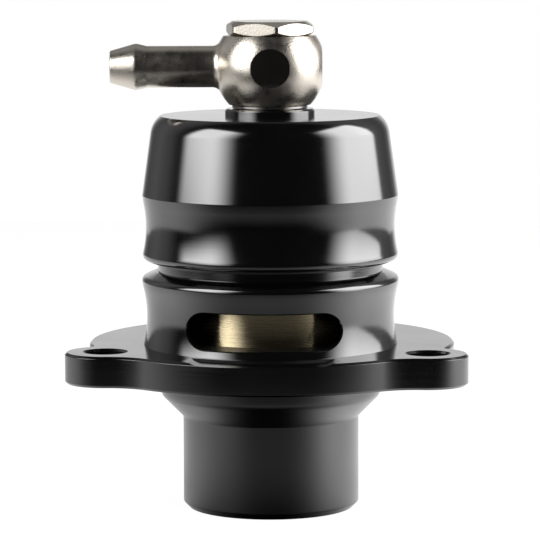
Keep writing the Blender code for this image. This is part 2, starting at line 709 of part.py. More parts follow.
def banjo_bolt(material, parent):
    """Hollow bolt with a low hex head, a waist inside the eye and a cross hole."""
    neck_low = BALL_Z - BOLT_WAIST_HALF
    neck_high = BALL_Z + BOLT_WAIST_HALF
    slope = BOLT_SHANK_R - BOLT_WAIST_R
    shank = [
        (0.0, BOLT_END_Z),
        (BOLT_SHANK_R - BOLT_END_CHAMFER, BOLT_END_Z),
        (BOLT_SHANK_R, BOLT_END_Z + BOLT_END_CHAMFER),
        (BOLT_SHANK_R, neck_low - slope),
        (BOLT_WAIST_R, neck_low),
        (BOLT_WAIST_R, neck_high),
        (BOLT_SHANK_R, neck_high + slope),
        (BOLT_SHANK_R, HEX_BOTTOM_Z + HEX_HEIGHT / 2),
        (0.0, HEX_BOTTOM_Z + HEX_HEIGHT / 2),
    ]
    corner_r = HEX_WIDTH / 2 / math.cos(math.pi / 6)
    flat_r = HEX_WIDTH / 2
    chamfer_rise = (corner_r - flat_r) * math.tan(HEX_TRIM_ANGLE)
    trim = [
        (0.0, HEX_BOTTOM_Z),
        (corner_r - chamfer_rise / 2, HEX_BOTTOM_Z),
        (corner_r + HEX_TRIM_OVER, HEX_BOTTOM_Z + chamfer_rise),
        (corner_r + HEX_TRIM_OVER, HEX_TOP_Z - HEX_TOP_CHAMFER - chamfer_rise / 2),
        (flat_r - HEX_TOP_CHAMFER, HEX_TOP_Z),
        (0.0, HEX_TOP_Z),
    ]
    head_form = turned_cutter("hex_trim", trim, parent, SMALL_STEPS)
    front = -math.pi / 2 + HEX_TURN
    corners = []
    for i in range(6):
        angle = front + i * math.pi / 3
        corners.append((corner_r * math.cos(angle), corner_r * math.sin(angle)))
    mesh = prism_mesh("banjo_bolt", [(HEX_BOTTOM_Z, corners), (HEX_TOP_Z, corners)])
    bolt = finish_object("banjo_bolt", mesh, material, parent)
    combine(bolt, head_form, "INTERSECT")
    combine(bolt, turned_cutter("bolt_shank_form", shank, parent, SMALL_STEPS), "UNION")
    bore_top = BALL_Z + 2 * BOLT_CROSS_R
    bore = bore_bar("bolt_bore", BOLT_BORE_R, (0, 0, BOLT_END_Z - MM), (0, 0, bore_top), parent)
    combine(bolt, bore, "DIFFERENCE")
    reach = 2 * BOLT_SHANK_R
    cross = bore_bar("bolt_cross_hole", BOLT_CROSS_R, (-reach, 0, BALL_Z), (reach, 0, BALL_Z), parent)
    combine(bolt, cross, "DIFFERENCE")
    return bolt


def eye_outline():
    """Ball with flat top and bottom round the bolt's hole, and the recess for the upper seal."""
    low = -math.asin(BALL_BELOW / BALL_R)
    high = math.asin(BALL_ABOVE / BALL_R)
    ball = arc((0.0, BALL_Z), BALL_R, low, high)
    recess_r = EYE_BORE_R + UPPER_SEAL_WIDTH + RING_GAP
    recess_z = EYE_TOP_Z - UPPER_SEAL_THICKNESS - SEAT_GAP
    return ball + [
        (recess_r, EYE_TOP_Z),
        (recess_r, recess_z),
        (EYE_BORE_R, recess_z),
        (EYE_BORE_R, EYE_BOTTOM_Z),
    ]


def nipple_outline():
    """Outline of the nipple along its own axis, from inside the ball out to the tip.

    The root is a hollow round that touches both the ball and the shank.
    """
    round_r = NIPPLE_SHANK_R + NIPPLE_ROOT_ROUND
    round_s = math.sqrt((BALL_R + NIPPLE_ROOT_ROUND) ** 2 - round_r ** 2)
    start = math.pi + math.atan2(round_s, round_r)
    root = arc((round_r, round_s), NIPPLE_ROOT_ROUND, start, math.pi)
    inner = BALL_R - NIPPLE_ROOT_DEPTH
    barb = NIPPLE_REACH - NIPPLE_BARB_FROM_TIP
    outer = rounded([
        root[-1],
        (NIPPLE_SHANK_R, barb - NIPPLE_BARB_BACK, NIPPLE_BARB_ROUND),
        (NIPPLE_BARB_R, barb, NIPPLE_BARB_ROUND),
        (NIPPLE_TIP_R, NIPPLE_REACH),
    ], closed=False)[1:]
    return [(0.0, inner), (NIPPLE_SHANK_R, inner)] + root + outer + [(0.0, NIPPLE_REACH)]


def banjo_fitting(material, parent):
    """Banjo in one piece: ball eye with three milled flats and a barbed nipple."""
    fitting = turned("banjo_fitting", eye_outline(), material, parent, BALL_STEPS)
    fitting.rotation_euler = (0.0, 0.0, BANJO_YAW)

    aside = Matrix.Translation((0, 0, BALL_Z)) @ Matrix.Rotation(-math.pi / 2, 4, "Y")
    nipple_mesh = turned_mesh("nipple_form", nipple_outline(), SMALL_STEPS, on_axis=True)
    nipple_mesh.transform(aside)
    nipple = guide(finish_object("nipple_form", nipple_mesh, None, parent))
    nipple.rotation_euler = fitting.rotation_euler
    combine(fitting, nipple, "UNION")

    bore = bore_bar(
        "nipple_bore", NIPPLE_BORE_R, (-NIPPLE_REACH - MM, 0, BALL_Z), (0, 0, BALL_Z), parent,
    )
    bore.rotation_euler = fitting.rotation_euler
    combine(fitting, bore, "DIFFERENCE")

    for name, heading in (("flat_right", 0.0), ("flat_back", 0.5), ("flat_front", -0.5)):
        bm = bmesh.new()
        bmesh.ops.create_cube(bm, size=2 * BALL_R)
        shift = Matrix.Translation((BALL_FLAT_DISTANCE + BALL_R, 0, BALL_Z))
        turn = Matrix.Rotation(heading * math.pi, 4, "Z")
        bmesh.ops.transform(bm, matrix=turn @ shift, verts=bm.verts)
        cutter = guide(finish_object(name, mesh_from(bm, name), None, parent))
        cutter.rotation_euler = fitting.rotation_euler
        combine(fitting, cutter, "DIFFERENCE")
    return fitting


def main():
    """Build the valve in its own frame."""
    clear_scene()
    axis = bpy.data.objects.new("valve_axis", None)
    axis.location = (0.0, -FLANGE_OFFSET - (BOLT_CIRCLE_R + EAR_R - FLANGE_R) / 2, 0.0)
    bpy.context.scene.collection.objects.link(axis)

    black = make_material("black_anodised", BLACK_ANODISED, 0.12, 0.3)
    brass = make_material("polished_brass", BRASS, 0.08, 1.0)
    nickel = make_material("nickel_plate", NICKEL, 0.2, 1.0)
    steel = make_material("washer_steel", STEEL, 0.3, 1.0)
    rubber = make_material("seal_rubber", RUBBER, 0.6, 0.0)
    white = make_material("guide_ring_plastic", GUIDE_WHITE, 0.5, 0.0)
    spring_steel = make_material("spring_steel", SPRING_STEEL, 0.25, 1.0)

    valve_body(black, axis)
    cap(black.copy(), axis)
    cap_seal(rubber, axis)
    piston(brass, axis)
    seat_seal(rubber.copy(), axis)
    piston_seal(rubber.copy(), axis)
    guide_ring(white, axis)
    return_spring(spring_steel, axis)
    lower_washer(steel, axis)
    upper_seal(rubber.copy(), axis)
    banjo_fitting(nickel, axis)
    banjo_bolt(nickel.copy(), axis)
    bpy.context.view_layer.update()


main()
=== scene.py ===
"""Blow off valve: finished pieces, their materials and a plain studio stage.

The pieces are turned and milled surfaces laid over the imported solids. Heights and radii are in
metres in the part's own frame, and every turned piece shares the valve axis.
"""

import math

import bmesh
import bpy
import numpy as np
from bpy.props import FloatProperty, FloatVectorProperty, IntProperty, PointerProperty
from mathutils import Matrix, Quaternion, Vector


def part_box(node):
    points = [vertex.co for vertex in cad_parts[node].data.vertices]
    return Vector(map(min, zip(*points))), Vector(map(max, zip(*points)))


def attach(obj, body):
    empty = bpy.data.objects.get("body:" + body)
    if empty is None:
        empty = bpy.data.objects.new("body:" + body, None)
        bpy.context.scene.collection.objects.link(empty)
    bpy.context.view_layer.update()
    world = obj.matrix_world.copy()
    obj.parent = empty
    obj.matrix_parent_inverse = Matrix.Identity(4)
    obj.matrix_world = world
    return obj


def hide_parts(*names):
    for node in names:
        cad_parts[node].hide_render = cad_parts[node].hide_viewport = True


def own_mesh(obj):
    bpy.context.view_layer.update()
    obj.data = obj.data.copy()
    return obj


bl_info = {
    "name": "Blow off valve",
    "version": (1, 0, 0),
    "blender": (4, 5, 0),
    "location": "View3D > Sidebar > Valve",
    "description": "Builds the finished pieces of a piston blow off valve and its stage",
    "category": "Object",
}

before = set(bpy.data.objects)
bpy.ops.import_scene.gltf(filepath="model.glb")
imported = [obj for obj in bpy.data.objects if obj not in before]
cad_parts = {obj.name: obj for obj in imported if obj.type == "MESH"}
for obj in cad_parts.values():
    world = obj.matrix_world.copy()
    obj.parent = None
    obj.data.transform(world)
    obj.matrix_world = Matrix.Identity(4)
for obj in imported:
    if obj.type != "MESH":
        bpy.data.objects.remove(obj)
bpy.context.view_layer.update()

MM = 0.001
BODY_LOW, BODY_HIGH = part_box("valve_body")
CAP_LOW, CAP_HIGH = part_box("cap")
PISTON_LOW, PISTON_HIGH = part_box("piston")
SPRING_LOW, SPRING_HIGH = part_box("return_spring")
WASHER_LOW, WASHER_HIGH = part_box("lower_washer")
EYE_LOW, EYE_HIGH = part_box("banjo_fitting")
BOLT_LOW, BOLT_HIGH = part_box("banjo_bolt")
AXIS_Y = (CAP_LOW.y + CAP_HIGH.y) / 2
SHARP = math.radians(30)
LAMP_DISTANCE = 0.35
HEAD_SLOPE = math.radians(32)
FOOT_SLOPE = math.radians(30)


def length(name, description, millimetres):
    """A length that the sidebar shows in the scene's units."""
    return FloatProperty(
        name=name, description=description, default=millimetres * MM, min=0.0,
        precision=5, unit="LENGTH",
    )


def angle(name, description, degrees):
    """An angle that the sidebar shows in degrees."""
    return FloatProperty(
        name=name, description=description, default=math.radians(degrees), subtype="ANGLE",
    )


def colour(name, description, value):
    """A colour swatch."""
    return FloatVectorProperty(
        name=name, description=description, default=value, size=3, min=0.0, max=1.0,
        subtype="COLOR",
    )


def share(name, description, value):
    """A number from nought to one."""
    return FloatProperty(
        name=name, description=description, default=value, min=0.0, max=1.0, subtype="FACTOR",
    )


def gloss(name, description, value):
    """An index of refraction: the higher, the brighter the reflections."""
    return FloatProperty(name=name, description=description, default=value, min=1.0)


class BodySizes(bpy.types.PropertyGroup):
    """Sizes of the turned and milled body."""

    spigot_radius: length("Spigot radius", "Outside radius of the spigot", 15.25)
    spigot_bore: length("Spigot bore", "Radius of the air way in the spigot", 12.7)
    spigot_length: length("Spigot length", "Height of the spigot below its flare", 16.0)
    spigot_chamfer: length("Spigot chamfer", "Chamfer at the spigot's end", 1.0)
    flare_height: length("Flare height", "Height of the cone between spigot and collar", 3.85)
    flare_round: length("Flare round", "Round where the cone meets the collar", 1.5)
    collar_radius: length("Collar radius", "Radius of the collar under the flange", 19.05)
    bore_radius: length("Barrel bore", "Radius of the bore that the piston runs in", 16.3)
    waist_radius: length("Barrel waist", "Smallest outside radius of the barrel", 21.44)
    waist_rise: length("Waist rise", "Height of the barrel's waist over the flange", 5.17)
    foot_arc: length("Foot round", "Hollow round from the flange up to the waist", 22.0)
    waist_arc: length("Waist round", "Hollow round from the waist up to the band", 19.0)
    waist_above: length("Waist to band", "Height of the band's foot over the waist", 4.77)
    band_height: length("Band height", "Height of the plain band over the waist", 1.0)
    band_stand: length("Band step", "How far the band stands out of the waist's end", 0.2)
    lip_height: length("Lip height", "Plain height of the barrel's lip", 0.8)
    lip_round: length("Lip round", "Round between lip and bevel", 0.9)
    bevel_height: length("Bevel height", "Height of the bevel on top of the barrel", 1.0)
    neck_radius: length("Neck radius", "Radius of the neck that the cap screws on", 19.5)
    seat_drop: length("Seat drop", "Depth of the piston's seat below the flange's top", 0.9)
    slot_width: length("Slot width", "Width of a vent slot", 26.2)
    slot_height: length("Slot height", "Height of a vent slot", 6.2)
    slot_sill: length("Slot sill", "Height of the slot's floor over the flange", 1.25)
    slot_break: length("Slot edge", "Chamfer round the slot's outer edge", 0.2)
    edge_round: length("Edge round", "Round on the body's turned edges", 0.12)


class FlangeSizes(bpy.types.PropertyGroup):
    """Sizes of the flange plate and its three ears."""

    disc_radius: length("Disc radius", "Radius of the flange's disc", 31.85)
    thickness: length("Thickness", "Thickness of the flange", 5.35)
    bottom: length("Underside", "Height of the flange's underside", 23.2)
    offset: length("Disc offset", "How far the disc's centre lies behind the valve axis", 3.5)
    chamfer: length("Rim chamfer", "Chamfer along the flange's rims", 0.4)
    bolt_circle: length("Bolt circle", "Radius of the circle of bolt holes", 31.75)
    ear_radius: length("Ear radius", "Radius of each ear round its bolt hole", 6.9)
    ear_angle: angle("Ear angle", "How far the front ears stand forward of the disc's centre", 30.0)
    front_round: length("Front round", "Hollow round between a front ear and the disc", 10.0)
    back_round: length("Back round", "Hollow round on the other side of each ear", 1.0)
    hole_radius: length("Bolt hole", "Radius of each bolt hole", 3.5)
    hole_chamfer: length("Hole chamfer", "Chamfer at each mouth of a bolt hole", 0.4)


class CapSizes(bpy.types.PropertyGroup):
    """Sizes of the screwed cap."""

    bevel_foot: length("Bevel foot", "Radius at the foot of the lower bevel", 19.9)
    bevel_height: length("Bevel height", "Height of the bevel at the cap's foot", 0.77)
    lip_round: length("Lip round", "Round between bevel and lip", 1.0)
    waist_radius: length("Cap waist", "Smallest outside radius of the cap", 21.53)
    waist_rise: length("Waist rise", "Height of the waist over the cap's foot", 6.35)
    waist_arc: length("Waist round", "Hollow round of the cap's waist", 19.5)
    waist_below: length("Waist below", "Height of the waist's lower half", 4.65)
    waist_above: length("Waist above", "Height of the waist's upper half", 4.1)
    ridge_height: length("Ridge height", "Height from the waist's end to the ridge", 1.3)
    ridge_stand: length("Ridge step", "How far the ridge stands out of the waist's end", 0.17)
    taper: length("Taper", "How much the dome draws in from ridge to shoulder", 1.46)
    shoulder_drop: length("Shoulder drop", "Depth of the shoulder's centre below the top", 3.5)
    shoulder_round: length("Shoulder round", "Round of the shoulder", 4.42)
    boss_radius: length("Boss radius", "Radius of the boss under the banjo", 7.75)
    boss_height: length("Boss height", "Height of the boss", 1.2)
    boss_chamfer: length("Boss chamfer", "Chamfer of the boss", 0.3)
    bolt_hole: length("Bolt hole", "Radius of the hole for the banjo bolt", 5.05)
    skirt_bore: length("Skirt bore", "Radius inside the skirt, over the neck", 19.7)
    chamber: length("Chamber height", "Height of the spring chamber in the cap", 6.0)
    crown: length("Crown", "Thickness of the cap's crown", 5.43)
    edge_round: length("Edge round", "Round on the cap's turned edges", 0.12)


class PistonSizes(bpy.types.PropertyGroup):
    """Sizes of the piston, its seals and its guide ring."""

    radius: length("Piston radius", "Outside radius of the piston", 16.1)
    wall: length("Piston wall", "Thickness of the piston's wall", 2.6)
    height: length("Piston height", "Height from the piston's foot to its top", 18.5)
    floor: length("Piston floor", "Thickness of the piston's floor", 3.5)
    edge: length("Piston edge", "Chamfer on the piston's edges", 0.5)
    nose_radius: length("Nose radius", "Radius of the nose that carries the seat seal", 12.4)
    nose_lip: length("Nose lip", "Height of the lip under the seat seal", 1.1)
    recess_radius: length("Recess radius", "Radius of the recess in the piston's face", 8.5)
    recess_depth: length("Recess depth", "Depth of the recess in the piston's face", 1.6)
    guide_height: length("Guide ring height", "Height of the guide ring", 3.0)
    guide_depth: length("Guide groove", "Depth of the guide ring's groove", 1.0)
    guide_drop: length("Guide ring drop", "Depth of the guide ring below the piston's top", 6.2)
    guide_split: angle("Guide ring split", "Opening of the guide ring's split", 5.0)
    seat_seal: length("Seat seal", "Radius of the seat seal's section", 0.8)
    seat_seal_radius: length("Seat seal ring", "Radius of the seat seal's ring", 13.0)
    piston_seal: length("Piston seal", "Radius of the piston seal's section", 0.6)
    piston_seal_drop: length("Piston seal drop", "Depth of the seal below the piston's top", 2.6)
    cap_seal: length("Cap seal", "Radius of the cap seal's section", 0.5)
    cap_seal_drop: length("Cap seal drop", "Depth of the seal below the neck's top", 2.0)
    seal_stand: length("Seal stand", "How far a seal stands out of its groove", 0.1)
    ring_gap: length("Ring gap", "Play round a ring in its groove", 0.1)


class SpringSizes(bpy.types.PropertyGroup):
    """Sizes of the return spring."""

    wire_radius: length("Wire radius", "Radius of the spring's wire", 0.8)
    coil_radius: length("Coil radius", "Radius of the coil's middle line", 11.5)
    turns: FloatProperty(name="Turns", description="Turns of the coil", default=6.5, min=3.0)
    closed_rise: length("Closed rise", "Rise of each closed end turn", 1.92)
    travel: length("Travel", "How far the piston opens", 8.0)


class BanjoSizes(bpy.types.PropertyGroup):
    """Sizes of the banjo, its washer and seal, and its bolt."""

    ball_radius: length("Ball radius", "Radius of the banjo's ball", 9.6)
    ball_below: length("Ball below", "Height of the ball's middle over its foot", 6.55)
    ball_above: length("Ball above", "Height of the ball's flat top over its middle", 5.3)
    flat_distance: length("Flat distance", "Distance of each side flat from the axis", 9.0)
    eye_bore: length("Eye bore", "Radius of the hole for the bolt", 5.25)
    seal_width: length("Upper seal width", "Width of the seal under the bolt's head", 1.0)
    seal_thickness: length("Upper seal thickness", "Thickness of that seal", 0.7)
    ring_gap: length("Ring gap", "Play round the seal in its recess", 0.1)
    yaw: angle("Nipple heading", "Turn of the nipple towards the front", 4.0)
    nipple_reach: length("Nipple reach", "Distance of the nipple's tip from the axis", 27.5)
    shank_radius: length("Nipple shank", "Radius of the nipple's shank", 3.58)
    nipple_bore: length("Nipple bore", "Radius of the air hole in the nipple", 1.6)
    tip_radius: length("Nipple tip", "Radius at the nipple's tip", 2.75)
    barb_radius: length("Barb radius", "Radius of the hose barb", 4.05)
    barb_from_tip: length("Barb place", "Distance of the barb from the tip", 4.5)
    barb_back: length("Barb back", "Length of the barb's back slope", 1.9)
    barb_round: length("Barb round", "Round of the barb", 1.5)
    root_round: length("Root round", "Hollow round between nipple and ball", 1.5)
    bolt_shank: length("Bolt shank", "Radius of the bolt's shank", 4.85)
    bolt_waist: length("Bolt waist", "Radius of the bolt's waist inside the eye", 4.0)
    bolt_waist_half: length("Bolt waist height", "Half the height of the bolt's waist", 3.0)
    bolt_bore: length("Bolt bore", "Radius of the hole along the bolt", 2.0)
    bolt_cross: length("Bolt cross hole", "Radius of the hole across the bolt", 1.5)
    hex_width: length("Hex width", "Width of the hex head across its flats", 14.0)
    hex_height: length("Hex height", "Height of the hex head", 2.4)
    hex_chamfer: length("Hex chamfer", "Chamfer on top of the hex head", 0.5)
    hex_turn: angle("Hex turn", "Turn of the hex head's front corner", 12.6)
    washer_width: length("Washer width", "Width of the lower washer", 1.25)


class Finishes(bpy.types.PropertyGroup):
    """Colours and roughness of the valve's materials."""

    black: colour("Anodised black", "Colour of the anodised aluminium", (0.0013, 0.0012, 0.0012))
    black_rough: share("Polished black roughness", "Roughness of barrel and cap", 0.12)
    milled_rough: share("Milled black roughness", "Roughness of the flange", 0.15)
    satin_rough: share("Satin black roughness", "Roughness of the spigot", 0.3)
    slot_rough: share("Slot roughness", "Roughness of the slots' walls", 0.5)
    black_gloss: gloss("Black gloss", "Index of refraction of the polished black", 2.1)
    milled_gloss: gloss("Milled gloss", "Index of refraction of the milled black", 2.05)
    satin_gloss: gloss("Satin gloss", "Index of refraction of the satin black", 1.95)
    brass: colour("Brass", "Colour of the polished piston", (0.93, 0.78, 0.5))
    nickel: colour("Nickel", "Colour of the plated banjo and bolt", (0.66, 0.61, 0.54))
    steel: colour("Washer steel", "Colour of the dark steel washer", (0.24, 0.23, 0.22))
    rubber: colour("Rubber", "Colour of the seals", (0.02, 0.02, 0.02))
    guide: colour("Guide ring", "Colour of the guide ring", (0.75, 0.72, 0.66))
    wire: colour("Spring wire", "Colour of the drawn wire", (0.45, 0.44, 0.43))


class StageSettings(bpy.types.PropertyGroup):
    """Camera, lamps and floor."""

    distance: length("Camera distance", "Level distance from the valve axis", 542.0)
    height: length("Camera height", "Height of the camera over the floor", 102.36)
    heading: angle("Camera heading", "Turn of the camera round the valve", 3.65)
    pitch: angle("Camera pitch", "How far the camera looks down", 6.433)
    roll: angle("Camera roll", "Roll of the camera", 0.2)
    lens: FloatProperty(name="Lens", description="Focal length in millimetres", default=209.6)
    aside: FloatProperty(
        name="Camera shift", description="Shift of the frame, in widths", default=-0.0008,
    )
    left_lamp: FloatProperty(name="Left lamp", description="Brightness of its face", default=5.3)
    right_lamp: FloatProperty(name="Right lamp", description="Brightness of its face", default=5.5)
    ambient: FloatProperty(name="Ambient", description="Soft light from all round", default=0.3)
    columns: IntProperty(name="Columns", description="Facets of a turned piece", default=256, min=24)


SETTINGS = {
    "valve_body_sizes": BodySizes,
    "valve_flange_sizes": FlangeSizes,
    "valve_cap_sizes": CapSizes,
    "valve_piston_sizes": PistonSizes,
    "valve_spring_sizes": SpringSizes,
    "valve_banjo_sizes": BanjoSizes,
    "valve_finishes": Finishes,
    "valve_stage": StageSettings,
}


# Surfaces


def arc_points(centre, radius, start, end, step=math.radians(3)):
    """Points at centre + radius (cos t, sin t), with t running evenly from start to end."""
    count = max(2, math.ceil(abs(end - start) / step))
    t = np.linspace(start, end, count + 1)
    return np.stack([centre[0] + radius * np.cos(t), centre[1] + radius * np.sin(t)], axis=1)


def rounded_outline(corners, closed=True, step=math.radians(9)):
    """An outline through corners (x, y, round), each round replaced by its tangent arc.

    A tangent arc of radius q at a corner of half angle h starts q / tan h before it, and its
    centre lies q / sin h along the bisector. A short stretch is added at both ends of an arc,
    so that its shading doesn't run into the flat beside it.
    """
    points = []
    count = len(corners)
    for i, corner in enumerate(corners):
        here = np.array(corner[:2])
        radius = corner[2] if len(corner) > 2 else 0.0
        if radius <= 0.0 or (not closed and i in (0, count - 1)):
            points.append(here[None])
            continue
        to_last = np.array(corners[i - 1][:2]) - here
        to_next = np.array(corners[(i + 1) % count][:2]) - here
        before = to_last / np.linalg.norm(to_last)
        after = to_next / np.linalg.norm(to_next)
        half = math.acos(max(-1.0, min(1.0, float(before @ after)))) / 2
        reach = radius / math.tan(half)
        bisector = (before + after) / np.linalg.norm(before + after)
        centre = here + bisector * (radius / math.sin(half))
        first = here + before * reach - centre
        last = here + after * reach - centre
        start = math.atan2(first[1], first[0])
        turn = math.atan2(last[1], last[0]) - start
        turn = (turn + math.pi) % (2 * math.pi) - math.pi
        rest = 0.3 * radius
        if np.linalg.norm(to_last) > 2 * (reach + rest):
            points.append((here + before * (reach + rest))[None])
        points.append(arc_points(centre, radius, start, start + turn, step))
        if np.linalg.norm(to_next) > 2 * (reach + rest):
            points.append((here + after * (reach + rest))[None])
    return np.concatenate(points)


def waist_points(radius, height, lower_arc, upper_arc, below, above):
    """Two hollow rounds that touch at a waist: r = waist + arc - sqrt(arc^2 - (z - height)^2)."""
    low = np.linspace(-below, 0.0, 13)[:-1]
    high = np.linspace(0.0, above, 13)
    lower = np.stack([radius + lower_arc - np.sqrt(lower_arc ** 2 - low ** 2), height + low], 1)
    upper = np.stack([radius + upper_arc - np.sqrt(upper_arc ** 2 - high ** 2), height + high], 1)
    return np.concatenate([lower, upper])


def as_corners(points):
    """Points of a curve as corners without a round."""
    return [(float(x), float(y), 0.0) for x, y in points]


def grid_faces(rows, columns, wrap_rows, wrap_columns):
    """Four corner numbers of every cell of a grid, row by row."""
    i = np.arange(rows if wrap_rows else rows - 1)
    j = np.arange(columns if wrap_columns else columns - 1)
    i, j = np.meshgrid(i, j, indexing="ij")
    i, j = i.ravel(), j.ravel()
    down, right = (i + 1) % rows, (j + 1) % columns
    above, below = i * columns, down * columns
    return np.stack([above + j, above + right, below + right, below + j], 1)


def mesh_of(name, grid, wrap_rows=False, wrap_columns=True, fill_ends=False, triangles=False):
    """A mesh over a grid of points, its ends filled if asked, its doubles merged, facing outwards."""
    rows, columns = grid.shape[:2]
    faces = grid_faces(rows, columns, wrap_rows, wrap_columns).tolist()
    if fill_ends:
        faces.append(list(range(columns)))
        faces.append(list(range((rows - 1) * columns, rows * columns)))
    mesh = bpy.data.meshes.new(name)
    mesh.from_pydata(grid.reshape(-1, 3).tolist(), [], faces)
    bm = bmesh.new()
    bm.from_mesh(mesh)
    bmesh.ops.remove_doubles(bm, verts=bm.verts, dist=1e-7)
    bmesh.ops.recalc_face_normals(bm, faces=bm.faces)
    if triangles:
        bmesh.ops.triangulate(bm, faces=bm.faces)
    bm.to_mesh(mesh)
    bm.free()
    return mesh


def smoothed(mesh):
    """Shade a mesh smooth but for its sharp edges."""
    mesh.shade_smooth()
    mesh.set_sharp_from_angle(angle=SHARP)
    return mesh


def object_of(name, grid, **how):
    """Show the mesh over a grid of points."""
    mesh = smoothed(mesh_of(name, grid, **how))
    piece = bpy.data.objects.new(name, mesh)
    bpy.context.scene.collection.objects.link(piece)
    return piece


def about_axis(r, z, a):
    """Radius r and height z at angle a stand at (r cos a, axis + r sin a, z)."""
    return np.stack([r * np.cos(a), AXIS_Y + r * np.sin(a), z + 0 * a], axis=-1)


def turned_grid(outline, columns):
    """Every outline point (r, z) carried once round the valve axis."""
    a = np.linspace(0.0, 2 * math.pi, columns, endpoint=False)
    return about_axis(outline[:, :1], outline[:, 1:2], a)


def turned(name, outline, columns, closed=True):
    """A piece turned from an outline; an open outline starts and ends on the axis."""
    return object_of(name, turned_grid(outline, columns), wrap_rows=closed)


def carve(piece, tool, operation):
    """Join a tool to a piece or cut it away exactly, and drop the tool."""
    modifier = piece.modifiers.new(operation, "BOOLEAN")
    modifier.solver = "EXACT"
    modifier.operation = operation
    modifier.object = tool
    bpy.context.view_layer.update()
    depsgraph = bpy.context.evaluated_depsgraph_get()
    mesh = bpy.data.meshes.new_from_object(piece.evaluated_get(depsgraph))
    piece.modifiers.clear()
    piece.data = smoothed(mesh)
    bpy.data.objects.remove(tool)
    if not len(mesh.polygons):
        raise RuntimeError(f"{piece.name} came out empty")


def empty_slots(mesh, count):
    """Make room on a mesh for materials that are chosen later."""
    mesh.materials.clear()
    for _ in range(count):
        mesh.materials.append(None)


def mark_cut(tool):
    """Give a tool's faces the second material, so that the faces it cuts can be told apart."""
    empty_slots(tool.data, 2)
    ones = np.ones(len(tool.data.polygons), np.int32)
    tool.data.polygons.foreach_set("material_index", ones)


def settle(piece, body, nodes, materials):
    """Give a finished piece its materials, its body and the solids that it stands for."""
    mesh = piece.data
    index = np.zeros(len(mesh.polygons), np.int32)
    mesh.polygons.foreach_get("material_index", index)
    mesh.materials.clear()
    for material in materials:
        mesh.materials.append(material)
    mesh.polygons.foreach_set("material_index", np.minimum(index, len(materials) - 1))
    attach(piece, body)
    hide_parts(*nodes)


# Materials


class Graph:
    """The nodes of a material, a lamp or the world, each added and joined in one call."""

    def __init__(self, owner, clear=False):
        owner.use_nodes = True
        self.nodes, self.links = owner.node_tree.nodes, owner.node_tree.links
        if clear:
            self.nodes.clear()

    def fill(self, node, inputs):
        """Join every input that is given a socket, and set every other one."""
        for key, value in inputs.items():
            if isinstance(value, bpy.types.NodeSocket):
                self.links.new(value, node.inputs[key])
            else:
                node.inputs[key].default_value = value

    def add(self, kind, inputs, **settings):
        """Add a node with its settings and inputs, and give its outputs."""
        node = self.nodes.new("ShaderNode" + kind)
        for name, value in settings.items():
            setattr(node, name, value)
        self.fill(node, inputs)
        return node.outputs

    def mapped(self, value, low, high, start=0.3, end=0.7, kind="LINEAR"):
        """Map a value from start and end on to low and high."""
        inputs = {"Value": value, "From Min": start, "From Max": end, "To Min": low, "To Max": high}
        return self.add("MapRange", inputs, interpolation_type=kind)["Result"]

    def softly(self, value, low, high, start, end):
        """The same with a smooth step."""
        return self.mapped(value, low, high, start, end, "SMOOTHSTEP")

    def product(self, *values):
        """The values multiplied together."""
        result = values[0]
        for value in values[1:]:
            result = self.add("Math", {0: result, 1: value}, operation="MULTIPLY")["Value"]
        return result

    def bump(self, height, distance, strength, below=None):
        """A bump of a given height in metres, over another bump if there is one."""
        inputs = {"Distance": distance, "Strength": strength, "Height": height}
        if below is not None:
            inputs["Normal"] = below
        return self.add("Bump", inputs)["Normal"]


class Finish(Graph):
    """A Principled material that varies over the piece's own coordinates."""

    def __init__(self, name, tone, roughness, metallic, ior=1.5):
        self.material = bpy.data.materials.new(name)
        super().__init__(self.material)
        self.tone, self.roughness = tuple(tone), roughness
        self.shader = self.nodes["Principled BSDF"]
        self.surface({"Base Color": (*tone, 1.0), "Roughness": roughness})
        self.surface({"Metallic": metallic, "IOR": ior})
        self.place = self.add("TexCoord", {})["Object"]

    def surface(self, inputs):
        """Set or join the shader's inputs."""
        self.fill(self.shader, inputs)

    def noise(self, scale, detail=3.0, stretch=None):
        """Noise on the piece's own coordinates, drawn out along an axis if asked."""
        place = self.place
        if stretch is not None:
            shift = (0.0, -AXIS_Y * stretch[1], 0.0)
            place = self.add("Mapping", {"Vector": place, "Location": shift, "Scale": stretch})["Vector"]
        return self.add("TexNoise", {"Vector": place, "Scale": scale, "Detail": detail})["Fac"]

    def cloud(self, scale, dark, light):
        """Tint the colour between a darker and a lighter shade of it by a cloud of noise."""
        cloud = self.noise(scale)
        inputs = {"A": (*shaded(self.tone, dark), 1.0), "B": (*shaded(self.tone, light), 1.0)}
        inputs["Factor"] = self.mapped(cloud, 0.0, 1.0)
        self.surface({"Base Color": self.add("Mix", inputs, data_type="RGBA")["Result"]})
        return cloud

    def uneven(self, value, low, high):
        """Let the roughness run between two factors of itself."""
        self.surface({"Roughness": self.mapped(value, self.roughness * low, self.roughness * high)})


def shaded(tone, factor):
    """A colour made lighter or darker by a factor."""
    return tuple(min(1.0, channel * factor) for channel in tone)


def anodised(name, finish, roughness, reflection, lines):
    """Black anodising: faint turning lines, a little unevenness and a fine grain."""
    look = Finish(name, finish.black, roughness, 0.0, reflection)
    look.cloud(220.0, 0.7, 1.5)
    rings = look.noise(1.0, 2.0, (60.0, 60.0, 9000.0))
    look.uneven(rings, 1.0 - 0.5 * lines, 1.0 + 0.6 * lines)
    turning = look.bump(rings, 0.01 * MM, lines)
    look.surface({"Normal": look.bump(look.noise(2600.0, 2.0), 0.004 * MM, lines, turning)})
    return look.material


